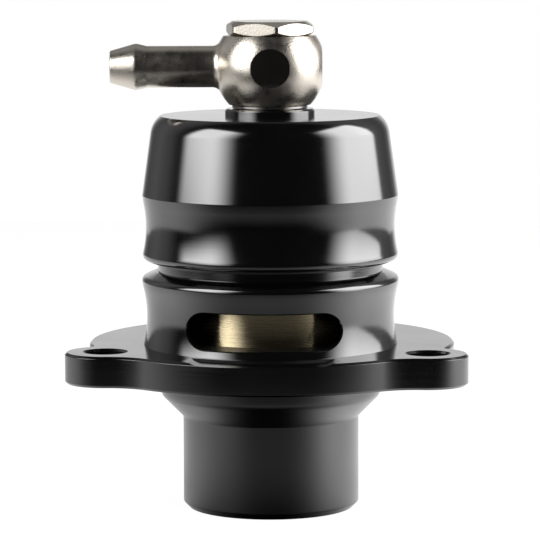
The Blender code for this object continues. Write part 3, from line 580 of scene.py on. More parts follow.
def polished_metal(name, tone, roughness, streak):
    """Bright turned metal: its fine turning lines draw reflections out along the axis."""
    look = Finish(name, tone, roughness, 1.0)
    look.cloud(160.0, 0.93, 1.04)
    look.uneven(look.noise(1.0, 2.0, (20.0, 20.0, 6000.0)), 0.85, 1.15)
    tangent = look.add("Tangent", {}, direction_type="RADIAL", axis="Z")["Tangent"]
    look.surface({"Anisotropic": streak, "Anisotropic Rotation": 0.25, "Tangent": tangent})
    return look.material


def plated(name, tone, roughness, peel):
    """Nickel plate over a cast skin: fine orange peel, small pits and warm tarnish."""
    look = Finish(name, tone, roughness, 1.0)
    look.uneven(look.cloud(300.0, 0.82, 1.08), 0.8, 1.3)
    skin = look.bump(look.noise(2800.0, 2.0), 0.035 * MM, peel)
    look.surface({"Normal": look.bump(look.noise(7000.0, 1.0), 0.015 * MM, peel, skin)})
    return look.material


def plain_finish(name, tone, roughness, metallic, scale):
    """A plain finish with slight unevenness in colour, gloss and surface."""
    look = Finish(name, tone, roughness, metallic)
    cloud = look.cloud(scale, 0.8, 1.2)
    look.uneven(cloud, 0.8, 1.25)
    look.surface({"Normal": look.bump(cloud, 0.02 * MM, 0.4)})
    return look.material


# Outlines


def heights(context):
    """The valve's main heights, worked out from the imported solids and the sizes."""
    body, flange = context.scene.valve_body_sizes, context.scene.valve_flange_sizes
    piston_sizes, cap_sizes = context.scene.valve_piston_sizes, context.scene.valve_cap_sizes
    flange_top = flange.bottom + flange.thickness
    return {
        "flange_top": flange_top,
        "seat": flange_top - body.seat_drop,
        "waist": flange_top + body.waist_rise,
        "barrel_top": flange_top + body.waist_rise + body.waist_above + body.band_height
        + body.lip_height + body.bevel_height,
        "neck_top": BODY_HIGH.z,
        "piston_top": PISTON_HIGH.z,
        "piston_foot": PISTON_HIGH.z - piston_sizes.height,
        "ceiling": CAP_HIGH.z - cap_sizes.boss_height - cap_sizes.crown,
        "cap_top": CAP_HIGH.z - cap_sizes.boss_height,
    }


def body_outline(body, flange, level, piston_sizes):
    """Closed outline of the body: up the outside from the spigot's end, down inside the bore."""
    q = body.edge_round
    barrel = waist_points(body.waist_radius, level["waist"], body.foot_arc, body.waist_arc,
                          body.waist_rise, body.waist_above)
    lip_r = barrel[-1][0] + body.band_stand
    band_z = level["waist"] + body.waist_above
    lip_z = band_z + body.band_height
    seal_z = level["neck_top"] - piston_sizes.cap_seal_drop
    half = piston_sizes.cap_seal + piston_sizes.ring_gap
    groove_r = body.neck_radius + piston_sizes.seal_stand - 2 * half
    mid = flange.bottom + flange.thickness / 2
    outside = [
        (body.spigot_radius - body.spigot_chamfer, 0.0, 0.25 * MM),
        (body.spigot_radius, body.spigot_chamfer, 0.4 * MM),
        (body.spigot_radius, body.spigot_length, 0.3 * MM),
        (body.collar_radius, body.spigot_length + body.flare_height, body.flare_round),
        (body.collar_radius, mid),
        (float(barrel[0][0]), mid),
        *as_corners(barrel),
        (lip_r, lip_z),
        (lip_r, lip_z + body.lip_height, body.lip_round),
        (body.neck_radius + 0.4 * MM, level["barrel_top"], q),
        (body.neck_radius, level["barrel_top"]),
        (body.neck_radius, seal_z - half),
        (groove_r, seal_z - half),
        (groove_r, seal_z + half),
        (body.neck_radius, seal_z + half),
        (body.neck_radius, level["neck_top"] - 0.6 * MM, q),
        (body.neck_radius - 0.6 * MM, level["neck_top"], q),
    ]
    seat_r = body.spigot_bore + 1.0 * MM
    inside = [
        (body.bore_radius, level["neck_top"], q),
        (body.bore_radius, level["seat"]),
        (seat_r, level["seat"], q),
        (body.spigot_bore, level["seat"] - 1.0 * MM, q),
        (body.spigot_bore, 0.4 * MM, q),
        (body.spigot_bore + 0.4 * MM, 0.0, q),
    ]
    return rounded_outline(outside + inside)


def circle_meeting(centre_a, reach_a, centre_b, reach_b, side):
    """The point at given reaches from two centres, to the left (1) or right (-1) of a to b."""
    line = centre_b - centre_a
    distance = np.linalg.norm(line)
    along = (reach_a ** 2 - reach_b ** 2 + distance ** 2) / (2 * distance)
    across = math.sqrt(reach_a ** 2 - along ** 2)
    unit = line / distance
    return centre_a + unit * along + np.array([-unit[1], unit[0]]) * across * side


def arc_from_to(centre, radius, start_point, end_point, clockwise=False):
    """Arc points about a centre, from one point round to another."""
    start = math.atan2(*(start_point - centre)[::-1])
    end = math.atan2(*(end_point - centre)[::-1])
    if clockwise and end > start:
        end -= 2 * math.pi
    if not clockwise and end < start:
        end += 2 * math.pi
    return arc_points(centre, radius, start, end, math.radians(3 if radius > 5 * MM else 8))


def along_to(start, end, reach):
    """The point that lies a reach from the start on the way to the end."""
    return start + (end - start) / np.linalg.norm(end - start) * reach


def flange_outline(flange):
    """The flange from above: a disc and three ears joined by hollow tangent rounds.

    A hollow round of radius q between two outer rounds has its centre at their radii plus q
    from both centres, and touches each on the line between the centres.
    """
    disc = np.array([0.0, flange.offset])
    towards_ear = np.array([math.cos(flange.ear_angle), -math.sin(flange.ear_angle)])
    right = disc + flange.bolt_circle * towards_ear
    back = disc + np.array([0.0, flange.bolt_circle])
    disc_r, ear_r = flange.disc_radius, flange.ear_radius
    half = []
    last = disc - np.array([0.0, disc_r])
    ears = ((right, flange.front_round, flange.back_round), (back, flange.back_round, 0.0))
    for ear, before, after in ears:
        first = circle_meeting(disc, disc_r + before, ear, ear_r + before, -1)
        disc_end = along_to(disc, first, disc_r)
        ear_start = along_to(ear, first, ear_r)
        half.append(arc_from_to(disc, disc_r, last, disc_end))
        half.append(arc_from_to(first, before, disc_end, ear_start, clockwise=True)[1:])
        if not after:
            half.append(arc_from_to(ear, ear_r, ear_start, ear + np.array([0.0, ear_r]))[1:])
            break
        second = circle_meeting(disc, disc_r + after, ear, ear_r + after, 1)
        ear_end = along_to(ear, second, ear_r)
        last = along_to(disc, second, disc_r)
        half.append(arc_from_to(ear, ear_r, ear_start, ear_end)[1:])
        half.append(arc_from_to(second, after, ear_end, last, clockwise=True)[1:-1])
    right_side = np.concatenate(half)
    left_side = right_side[1:-1][::-1] * np.array([-1.0, 1.0])
    return np.concatenate([right_side, left_side])


def bolt_centres(flange):
    """Centres of the bolt holes from above, in the part's frame."""
    side = flange.bolt_circle * math.cos(flange.ear_angle)
    front = AXIS_Y + flange.offset - flange.bolt_circle * math.sin(flange.ear_angle)
    return ((-side, front), (side, front), (0.0, AXIS_Y + flange.offset + flange.bolt_circle))


def side_normals(outline):
    """Outward directions of a counterclockwise outline, square to the chord of the neighbours."""
    chord = np.roll(outline, -1, 0) - np.roll(outline, 1, 0)
    normal = np.stack([chord[:, 1], -chord[:, 0]], axis=1)
    return normal / np.linalg.norm(normal, axis=1, keepdims=True)


def flange_plate(flange, inner_radius):
    """The flange: its rim's section (inset, height) carried round the outline.

    A section point stands at outline - inset x outward direction. The inner wall is a circle
    hidden inside the barrel's wall, one point of it for each point of the outline.
    """
    outline = flange_outline(flange)
    outward = side_normals(outline)
    top = flange.bottom + flange.thickness
    c, q = flange.chamfer, 0.08 * MM
    deep = c + 0.25 * MM
    section = rounded_outline([
        (deep, flange.bottom), (c, flange.bottom, q), (0.0, flange.bottom + c, q),
        (0.0, top - c, q), (c, top, q), (deep, top),
    ], closed=False, step=math.radians(15))
    plan = outline[None] - section[:, :1, None] * outward[None]
    height = np.repeat(section[:, 1], len(outline)).reshape(len(section), -1, 1)
    rows = np.concatenate([plan, height], axis=2)
    unit = outline / np.linalg.norm(outline, axis=1, keepdims=True) * inner_radius
    wall = [np.concatenate([unit, np.full((len(outline), 1), z)], axis=1) for z in (top, flange.bottom)]
    grid = np.concatenate([rows, np.stack(wall)])
    grid[:, :, 1] += AXIS_Y
    return object_of("flange_plate", grid, wrap_rows=True)


def bolt_hole_tool(flange, centre):
    """A turned tool with a cone at each end, so that the hole has a chamfer at each mouth."""
    top, over = flange.bottom + flange.thickness, 1.0 * MM
    wide = flange.hole_radius + flange.hole_chamfer + over
    outline = np.array([
        (0.0, flange.bottom - over),
        (wide, flange.bottom - over),
        (flange.hole_radius, flange.bottom + flange.hole_chamfer),
        (flange.hole_radius, top - flange.hole_chamfer),
        (wide, top + over),
        (0.0, top + over),
    ])
    grid = turned_grid(outline, 96)
    grid[:, :, 0] += centre[0]
    grid[:, :, 1] += centre[1] - AXIS_Y
    return object_of("bolt_hole", grid)


def slot_tool(body, level, side):
    """A bar with round ends, opened out by a chamfer where it leaves the barrel.

    The slot's outline in x and z is carried along y. Each point's wall starts to open out at
    y = side x sqrt(R(z)^2 - x^2), where R(z) is the barrel's outside.
    """
    half = body.slot_height / 2
    middle = level["flange_top"] + body.slot_sill + half
    end = body.slot_width / 2 - half
    step = math.radians(6)
    flat = np.linspace(-end, end, 25)[1:-1]
    outline = np.concatenate([
        arc_points((end, middle), half, -math.pi / 2, math.pi / 2, step),
        np.stack([flat[::-1], np.full(23, middle + half)], 1),
        arc_points((-end, middle), half, math.pi / 2, 3 * math.pi / 2, step),
        np.stack([flat, np.full(23, middle - half)], 1),
    ])
    outward = side_normals(outline)
    rows = []
    over = 1.5 * MM
    for opening, depth in ((0.0, None), (0.0, body.slot_break), (body.slot_break + over, -over)):
        plan = outline + opening * outward
        rise = plan[:, 1] - level["waist"]
        arc_r = np.where(rise < 0, body.foot_arc, body.waist_arc)
        barrel_r = body.waist_radius + arc_r - np.sqrt(arc_r ** 2 - rise ** 2)
        reach = np.sqrt(barrel_r ** 2 - plan[:, 0] ** 2)
        y = np.full(len(plan), 0.3 * body.bore_radius) if depth is None else reach - depth
        rows.append(np.stack([plan[:, 0], AXIS_Y + side * y, plan[:, 1]], 1))
    far = rows[-1].copy()
    far[:, 1] = AXIS_Y + side * 1.5 * body.waist_radius
    rows.append(far)
    return object_of("slot", np.stack(rows), fill_ends=True, triangles=True)


def cap_outline(cap, body, level):
    """Closed outline of the cap: bevel, waist, ridge, tapered dome, shoulder, boss and inside."""
    q = cap.edge_round
    foot = CAP_LOW.z
    waist_z = foot + cap.waist_rise
    skirt = waist_points(cap.waist_radius, waist_z, cap.waist_arc, cap.waist_arc,
                         cap.waist_below, cap.waist_above)
    ridge = np.array([skirt[-1][0] + cap.ridge_stand, skirt[-1][1] + cap.ridge_height])
    shoulder_r = ridge[0] - cap.taper - cap.shoulder_round
    shoulder = np.array([shoulder_r, level["cap_top"] - cap.shoulder_drop])
    toward = ridge - shoulder
    start = math.atan2(toward[1], toward[0]) + math.acos(cap.shoulder_round / np.linalg.norm(toward))
    end = math.asin(cap.shoulder_drop / cap.shoulder_round)
    dome = arc_points(shoulder, cap.shoulder_round, start, end)
    corners = [
        (cap.skirt_bore, foot),
        (cap.bevel_foot, foot, 0.06 * MM),
        (float(skirt[0][0]), foot + cap.bevel_height, cap.lip_round),
        *as_corners(skirt),
        (float(ridge[0]), float(ridge[1]), 0.25 * MM),
        *as_corners(dome),
        (cap.boss_radius, level["cap_top"]),
        (cap.boss_radius, CAP_HIGH.z - cap.boss_chamfer, q),
        (cap.boss_radius - cap.boss_chamfer, CAP_HIGH.z, q),
        (cap.bolt_hole, CAP_HIGH.z, q),
        (cap.bolt_hole, level["ceiling"]),
        (body.bore_radius, level["ceiling"], 0.5 * MM),
        (body.bore_radius, level["ceiling"] - cap.chamber, q),
        (cap.skirt_bore, level["ceiling"] - cap.chamber, 0.3 * MM),
    ]
    return rounded_outline(corners)


def groove(radius, depth, low, high):
    """Corners of a square groove in an outer wall that is drawn upwards."""
    return [(radius, low), (radius - depth, low), (radius - depth, high), (radius, high)]


def piston_outline(piston, level):
    """Open outline of the piston from its face to its floor, both on the axis."""
    q = 0.1 * MM
    top, foot = level["piston_top"], level["piston_foot"]
    seal_z = foot - piston.seat_seal - piston.ring_gap
    root_r = piston.seat_seal_radius - piston.seat_seal - piston.ring_gap
    lip_top = seal_z - piston.seat_seal - piston.ring_gap
    lip_bottom = lip_top - piston.nose_lip
    guide_half = piston.guide_height / 2 + piston.ring_gap
    guide_z = top - piston.guide_drop
    ring_half = piston.piston_seal + piston.ring_gap
    ring_depth = 2 * ring_half - piston.seal_stand
    ring_z = top - piston.piston_seal_drop
    inner = piston.radius - piston.wall
    e = piston.edge
    corners = [
        (0.0, lip_bottom + piston.recess_depth),
        (piston.recess_radius, lip_bottom + piston.recess_depth, 0.4 * MM),
        (piston.recess_radius, lip_bottom, q),
        (piston.nose_radius - e, lip_bottom, q),
        (piston.nose_radius, lip_bottom + e, q),
        (piston.nose_radius, lip_top),
        (root_r, lip_top),
        (root_r, foot),
        (piston.radius - e, foot, q),
        (piston.radius, foot + e, q),
        *groove(piston.radius, piston.guide_depth, guide_z - guide_half, guide_z + guide_half),
        *groove(piston.radius, ring_depth, ring_z - ring_half, ring_z + ring_half),
        (piston.radius, top - e, q),
        (piston.radius - e, top, q),
        (inner + e, top, q),
        (inner, top - e, q),
        (inner, foot + piston.floor, 0.8 * MM),
        (0.0, foot + piston.floor),
    ]
    return rounded_outline(corners, closed=False)


def seal_outline(ring_radius, section_radius, height):
    """A round section of radius s about (ring radius, height)."""
    return arc_points((ring_radius, height), section_radius, 0.0, 2 * math.pi, math.radians(12))[:-1]


def washer_outline(inner, outer, low, high, q):
    """A flat ring's section with rounded edges."""
    return rounded_outline([(inner, low, q), (outer, low, q), (outer, high, q), (inner, high, q)])


def along_nipple(outline, banjo, ball_z):
    """Outline point (r, s) at angle a stands s out along the nipple and r away from its middle."""
    a = np.linspace(0.0, 2 * math.pi, 96, endpoint=False)
    r, s = outline[:, :1], outline[:, 1:2]
    x, y, z = -s + 0 * a, r * np.cos(a), r * np.sin(a)
    return turned_by(np.stack([x, y, z + ball_z], axis=2), banjo.yaw)


def turned_by(grid, heading):
    """Points turned by a heading about the valve axis, from axis centred coordinates."""
    c, s = math.cos(heading), math.sin(heading)
    x, y = grid[..., 0], grid[..., 1]
    return np.stack([c * x - s * y, AXIS_Y + s * x + c * y, grid[..., 2]], axis=-1)


def block(name, low, high, heading):
    """A box between two corners, turned about the valve axis."""
    x = np.array([low[0], high[0], high[0], low[0]])
    y = np.array([low[1], low[1], high[1], high[1]])
    rows = [np.stack([x, y, np.full(4, z)], 1) for z in (low[2], high[2])]
    return object_of(name, turned_by(np.stack(rows), heading), fill_ends=True)


# Operators


class BodyOperator(bpy.types.Operator):
    """Turn the body, join its flange and mill its slots and bolt holes"""

    bl_idname = "valve.body"
    bl_label = "Body"

    def execute(self, context):
        scene = context.scene
        body, flange, finish = scene.valve_body_sizes, scene.valve_flange_sizes, scene.valve_finishes
        level = heights(context)
        outline = body_outline(body, flange, level, scene.valve_piston_sizes)
        piece = turned("body", outline, scene.valve_stage.columns)
        empty_slots(piece.data, 2)
        carve(piece, flange_plate(flange, (body.bore_radius + body.collar_radius) / 2), "UNION")
        tools = [slot_tool(body, level, side) for side in (-1.0, 1.0)]
        tools += [bolt_hole_tool(flange, centre) for centre in bolt_centres(flange)]
        for tool in tools:
            mark_cut(tool)
            carve(piece, tool, "DIFFERENCE")
        self.choose_finishes(piece, body, flange, level)
        materials = [
            anodised("barrel_polished_black", finish, finish.black_rough, finish.black_gloss, 0.3),
            anodised("flange_milled_black", finish, finish.milled_rough, finish.milled_gloss, 0.4),
            anodised("spigot_satin_black", finish, finish.satin_rough, finish.satin_gloss, 0.1),
            anodised("slot_dull_black", finish, finish.slot_rough, 1.3, 0.6),
        ]
        settle(piece, "housing", ["valve_body"], materials)
        return {"FINISHED"}

    def choose_finishes(self, piece, body, flange, level):
        """Polished barrel (0), milled flange and holes (1), satin spigot (2), dull slots (3)."""
        mesh = piece.data
        count = len(mesh.polygons)
        centre, index = np.zeros(count * 3), np.zeros(count, np.int32)
        mesh.polygons.foreach_get("center", centre)
        mesh.polygons.foreach_get("material_index", index)
        centre = centre.reshape(-1, 3)
        z = centre[:, 2]
        radius = np.hypot(centre[:, 0], centre[:, 1] - AXIS_Y)
        top = level["flange_top"]
        hair = 0.01 * MM
        below, above = z < flange.bottom - hair, z > top + hair
        plate = ~below & ~above & (radius > body.collar_radius)
        index = np.where(plate | (index == 1), 1, 0)
        index = np.where(below, 2, index)
        slot_wall = above & (index == 1) & (radius < body.waist_radius - body.slot_break)
        index = np.where(slot_wall, 3, index)
        empty_slots(mesh, 4)
        mesh.polygons.foreach_set("material_index", index.astype(np.int32))


class CapOperator(bpy.types.Operator):
    """Turn the screwed cap"""

    bl_idname = "valve.cap"
    bl_label = "Cap"

    def execute(self, context):
        scene = context.scene
        finish = scene.valve_finishes
        outline = cap_outline(scene.valve_cap_sizes, scene.valve_body_sizes, heights(context))
        piece = turned("screwed_cap", outline, scene.valve_stage.columns)
        material = anodised("cap_polished_black", finish, finish.black_rough, finish.black_gloss, 0.3)
        settle(piece, "housing", ["cap"], [material])
        return {"FINISHED"}


class PistonOperator(bpy.types.Operator):
    """Turn the brass piston"""

    bl_idname = "valve.piston"
    bl_label = "Piston"

    def execute(self, context):
        scene = context.scene
        outline = piston_outline(scene.valve_piston_sizes, heights(context))
        piece = turned("brass_piston", outline, scene.valve_stage.columns, closed=False)
        material = polished_metal("turned_brass", scene.valve_finishes.brass, 0.26, 0.97)
        settle(piece, "piston_group", ["piston"], [material])
        return {"FINISHED"}


class SealsOperator(bpy.types.Operator):
    """Make the three seal rings and the split guide ring"""

    bl_idname = "valve.seals"
    bl_label = "Seals and guide ring"

    def execute(self, context):
        scene = context.scene
        piston, body, finish = scene.valve_piston_sizes, scene.valve_body_sizes, scene.valve_finishes
        level = heights(context)
        rubber = plain_finish("moulded_rubber", finish.rubber, 0.55, 0.0, 400.0)
        rings = (
            ("cap_seal_ring", "cap_seal", "housing",
             body.neck_radius + piston.seal_stand - piston.cap_seal,
             piston.cap_seal, level["neck_top"] - piston.cap_seal_drop),
            ("piston_seal_ring", "piston_seal", "piston_group",
             piston.radius + piston.seal_stand - piston.piston_seal,
             piston.piston_seal, level["piston_top"] - piston.piston_seal_drop),
            ("seat_seal_ring", "seat_seal", "piston_group", piston.seat_seal_radius,
             piston.seat_seal, level["piston_foot"] - piston.seat_seal - piston.ring_gap),
        )
        for name, node, on_body, ring_r, section_r, z in rings:
            piece = turned(name, seal_outline(ring_r, section_r, z), 128)
            settle(piece, on_body, [node], [rubber])
        self.guide_ring(scene, piston, level)
        return {"FINISHED"}

    def guide_ring(self, scene, piston, level):
        """The ring's rounded section carried round the axis, from one side of the split to the other."""
        outer = piston.radius + piston.ring_gap
        inner = piston.radius - piston.guide_depth + piston.ring_gap
        low = level["piston_top"] - piston.guide_drop - piston.guide_height / 2
        section = washer_outline(inner, outer, low, low + piston.guide_height, 0.12 * MM)
        start = math.pi / 2 + piston.guide_split / 2
        a = np.linspace(start, start + 2 * math.pi - piston.guide_split, 129)[:, None]
        grid = about_axis(section[:, 0], section[:, 1], a)
        piece = object_of("split_guide_ring", grid, fill_ends=True)
        material = plain_finish("guide_ring_plastic", scene.valve_finishes.guide, 0.5, 0.0, 300.0)
        settle(piece, "piston_group", ["guide_ring"], [material])


class SpringOperator(bpy.types.Operator):
    """Coil the return spring"""

    bl_idname = "valve.spring"
    bl_label = "Return spring"

    def execute(self, context):
        """A circle of the wire's radius is carried square to a helix with closed end turns.

        The helix stands at (R cos t, R sin t, z(t)), where z climbs by the closed rise in the
        first and last turn and evenly between them.
        """
        scene = context.scene
        spring = scene.valve_spring_sizes
        low = SPRING_LOW.z + spring.wire_radius
        high = SPRING_HIGH.z - spring.wire_radius
        open_turns = spring.turns - 2
        open_rise = high - low - 2 * spring.closed_rise
        turns = np.linspace(0.0, spring.turns, round(spring.turns * 48) + 1)
        z = low + spring.closed_rise * np.minimum(turns, 1.0)
        z += open_rise * np.clip((turns - 1.0) / open_turns, 0.0, 1.0)
        z += spring.closed_rise * np.maximum(turns - 1.0 - open_turns, 0.0)
        t = 2 * math.pi * turns
        line = about_axis(spring.coil_radius, z, t)
        along = np.gradient(line, axis=0)
        along /= np.linalg.norm(along, axis=1, keepdims=True)
        outward = np.stack([np.cos(t), np.sin(t), 0 * t], 1)
        across = np.cross(along, outward)
        a = np.linspace(0.0, 2 * math.pi, 16, endpoint=False)[None, :, None]
        circle = outward[:, None] * np.cos(a) + across[:, None] * np.sin(a)
        grid = line[:, None] + spring.wire_radius * circle
        piece = object_of("coil_spring", grid, fill_ends=True)
        material = plain_finish("drawn_spring_wire", scene.valve_finishes.wire, 0.28, 1.0, 500.0)
        settle(piece, "housing", ["return_spring"], [material])
        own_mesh(piece)
        return {"FINISHED"}


class WashersOperator(bpy.types.Operator):
    """Turn the washer under the banjo and the seal on top of its eye"""

    bl_idname = "valve.washers"
    bl_label = "Washer and upper seal"

    def execute(self, context):
        scene = context.scene
        banjo, finish = scene.valve_banjo_sizes, scene.valve_finishes
        eye_top = BOLT_HIGH.z - banjo.hex_height - banjo.ring_gap
        outer = banjo.eye_bore + banjo.washer_width
        outline = washer_outline(banjo.eye_bore, outer, WASHER_LOW.z, WASHER_HIGH.z, 0.08 * MM)
        washer = turned("sealing_washer", outline, 128)
        steel = plain_finish("washer_dark_steel", finish.steel, 0.3, 1.0, 600.0)
        settle(washer, "housing", ["lower_washer"], [steel])
        low = eye_top - banjo.seal_thickness
        outer = banjo.eye_bore + banjo.seal_width
        outline = washer_outline(banjo.eye_bore, outer, low, eye_top, 0.1 * MM)
        seal = turned("upper_seal_ring", outline, 128)
        rubber = plain_finish("upper_seal_rubber", finish.rubber, 0.55, 0.0, 400.0)
        settle(seal, "housing", ["upper_seal"], [rubber])
        return {"FINISHED"}


class BanjoOperator(bpy.types.Operator):
    """Turn the ball eye, join the barbed nipple and mill the three flats"""

    bl_idname = "valve.banjo"
    bl_label = "Banjo"

    def execute(self, context):
        scene = context.scene
        banjo = scene.valve_banjo_sizes
        ball_z = EYE_LOW.z + banjo.ball_below
        piece = turned("ball_eye", self.eye_outline(banjo, ball_z), 192)
        empty_slots(piece.data, 2)
        nipple = along_nipple(self.nipple_outline(banjo), banjo, ball_z)
        carve(piece, object_of("nipple", nipple), "UNION")
        reach = banjo.nipple_reach + 1.0 * MM
        bore = np.array([
            (0.0, 0.0),
            (banjo.nipple_bore, 0.0),
            (banjo.nipple_bore, banjo.nipple_reach - 0.3 * MM),
            (banjo.nipple_bore + 1.3 * MM, reach),
            (0.0, reach),
        ])
        carve(piece, object_of("air_hole", along_nipple(bore, banjo, ball_z)), "DIFFERENCE")
        big = 2 * banjo.ball_radius
        for turn in (0.0, math.pi / 2, -math.pi / 2):
            low = (banjo.flat_distance, -big, ball_z - big)
            high = (banjo.flat_distance + big, big, ball_z + big)
            flat = block("side_flat", low, high, banjo.yaw + turn)
            mark_cut(flat)
            carve(piece, flat, "DIFFERENCE")
        nickel = scene.valve_finishes.nickel
        materials = [
            plated("banjo_nickel_plate", nickel, 0.28, 0.6),
            polished_metal("banjo_milled_flat", shaded(nickel, 0.7), 0.16, 0.5),
        ]
        settle(piece, "banjo", ["banjo_fitting"], materials)
        return {"FINISHED"}

    def eye_outline(self, banjo, ball_z):
        """A ball, r^2 + z^2 = R^2, cut flat below and above, with the bolt's hole and a recess."""
        ball = arc_points((0.0, ball_z), banjo.ball_radius,
                          -math.asin(banjo.ball_below / banjo.ball_radius),
                          math.asin(banjo.ball_above / banjo.ball_radius), math.radians(2))
        top = ball_z + banjo.ball_above
        recess_r = banjo.eye_bore + banjo.seal_width + banjo.ring_gap
        recess_z = top - banjo.seal_thickness - banjo.ring_gap
        q = 0.15 * MM
        corners = as_corners(ball)
        corners += [
            (recess_r, top, q),
            (recess_r, recess_z),
            (banjo.eye_bore, recess_z, q),
            (banjo.eye_bore, EYE_LOW.z, q),
        ]
        return rounded_outline(corners)

    def nipple_outline(self, banjo):
        """Radius against distance along the nipple, its root a hollow round that touches the ball."""
        q = banjo.root_round
        round_r = banjo.shank_radius + q
        round_s = math.sqrt((banjo.ball_radius + q) ** 2 - round_r ** 2)
        root = arc_points((round_r, round_s), q, math.pi + math.atan2(round_s, round_r), math.pi)
        inner = banjo.eye_bore + (banjo.ball_radius - banjo.eye_bore) / 3
        barb = banjo.nipple_reach - banjo.barb_from_tip
        corners = [(0.0, inner), (banjo.shank_radius, inner), *as_corners(root),
                   (banjo.shank_radius, barb - banjo.barb_back, banjo.barb_round),
                   (banjo.barb_radius, barb, banjo.barb_round),
                   (banjo.tip_radius, banjo.nipple_reach, 0.25 * MM),
                   (0.0, banjo.nipple_reach)]
        return rounded_outline(corners, closed=False, step=math.radians(5))


class BoltOperator(bpy.types.Operator):
    """Make the hollow bolt with its hex head"""

    bl_idname = "valve.bolt"
    bl_label = "Banjo bolt"

    def execute(self, context):
        """The outline is turned, and the head's wall stands at the hexagon's radius.

        At angle a from a corner that radius is w / cos(a' - 30 degrees), where w is half the
        width across flats and a' is a within its sixth of a turn. The head's top and bottom
        edges fall away from the flat faces by the tangent of the chamfer's slope times how far
        the wall stands out.
        """
        scene = context.scene
        banjo = scene.valve_banjo_sizes
        a = np.linspace(0.0, 2 * math.pi, 288, endpoint=False)
        sixth = math.pi / 3
        wall = banjo.hex_width / 2 / np.cos(np.mod(a, sixth) - sixth / 2)
        wall = np.minimum(wall, banjo.hex_width / 2 / math.cos(sixth / 2) - 0.12 * MM)
        bottom = BOLT_HIGH.z - banjo.hex_height
        top_r = banjo.hex_width / 2 - banjo.hex_chamfer
        top_fall = (wall - top_r) * math.tan(HEAD_SLOPE)
        foot_r = banjo.hex_width / 2 - 0.1 * MM
        foot_rise = np.maximum(wall - foot_r, 0.0) * math.tan(FOOT_SLOPE)
        ball_z = EYE_LOW.z + banjo.ball_below
        shank, neck = banjo.bolt_shank, banjo.bolt_waist
        slope = shank - neck
        end = BOLT_LOW.z
        bore_top = ball_z + 2 * banjo.bolt_cross
        rows = [
            (0.0, bore_top + 1.0 * MM),
            (banjo.bolt_bore, bore_top),
            (banjo.bolt_bore, end),
            (shank - 0.5 * MM, end),
            (shank, end + 0.5 * MM),
            (shank, ball_z - banjo.bolt_waist_half - slope),
            (neck, ball_z - banjo.bolt_waist_half),
            (neck, ball_z + banjo.bolt_waist_half),
            (shank, ball_z + banjo.bolt_waist_half + slope),
            (shank, bottom),
            (foot_r, bottom),
            (wall, bottom + foot_rise),
            (wall, BOLT_HIGH.z - top_fall),
            (top_r, BOLT_HIGH.z),
            (top_r - 0.3 * MM, BOLT_HIGH.z),
            (0.0, BOLT_HIGH.z),
        ]
        heading = a - math.pi / 2 + banjo.hex_turn
        grid = np.stack([about_axis(r, z, heading) for r, z in rows])
        piece = object_of("hollow_bolt", grid)
        far = 2 * shank
        cross = np.array([(0.0, -far), (banjo.bolt_cross, -far), (banjo.bolt_cross, far), (0.0, far)])
        carve(piece, object_of("cross_hole", along_nipple(cross, banjo, ball_z)), "DIFFERENCE")
        material = plated("bolt_nickel_plate", scene.valve_finishes.nickel, 0.24, 0.3)
        settle(piece, "housing", ["banjo_bolt"], [material])
        return {"FINISHED"}


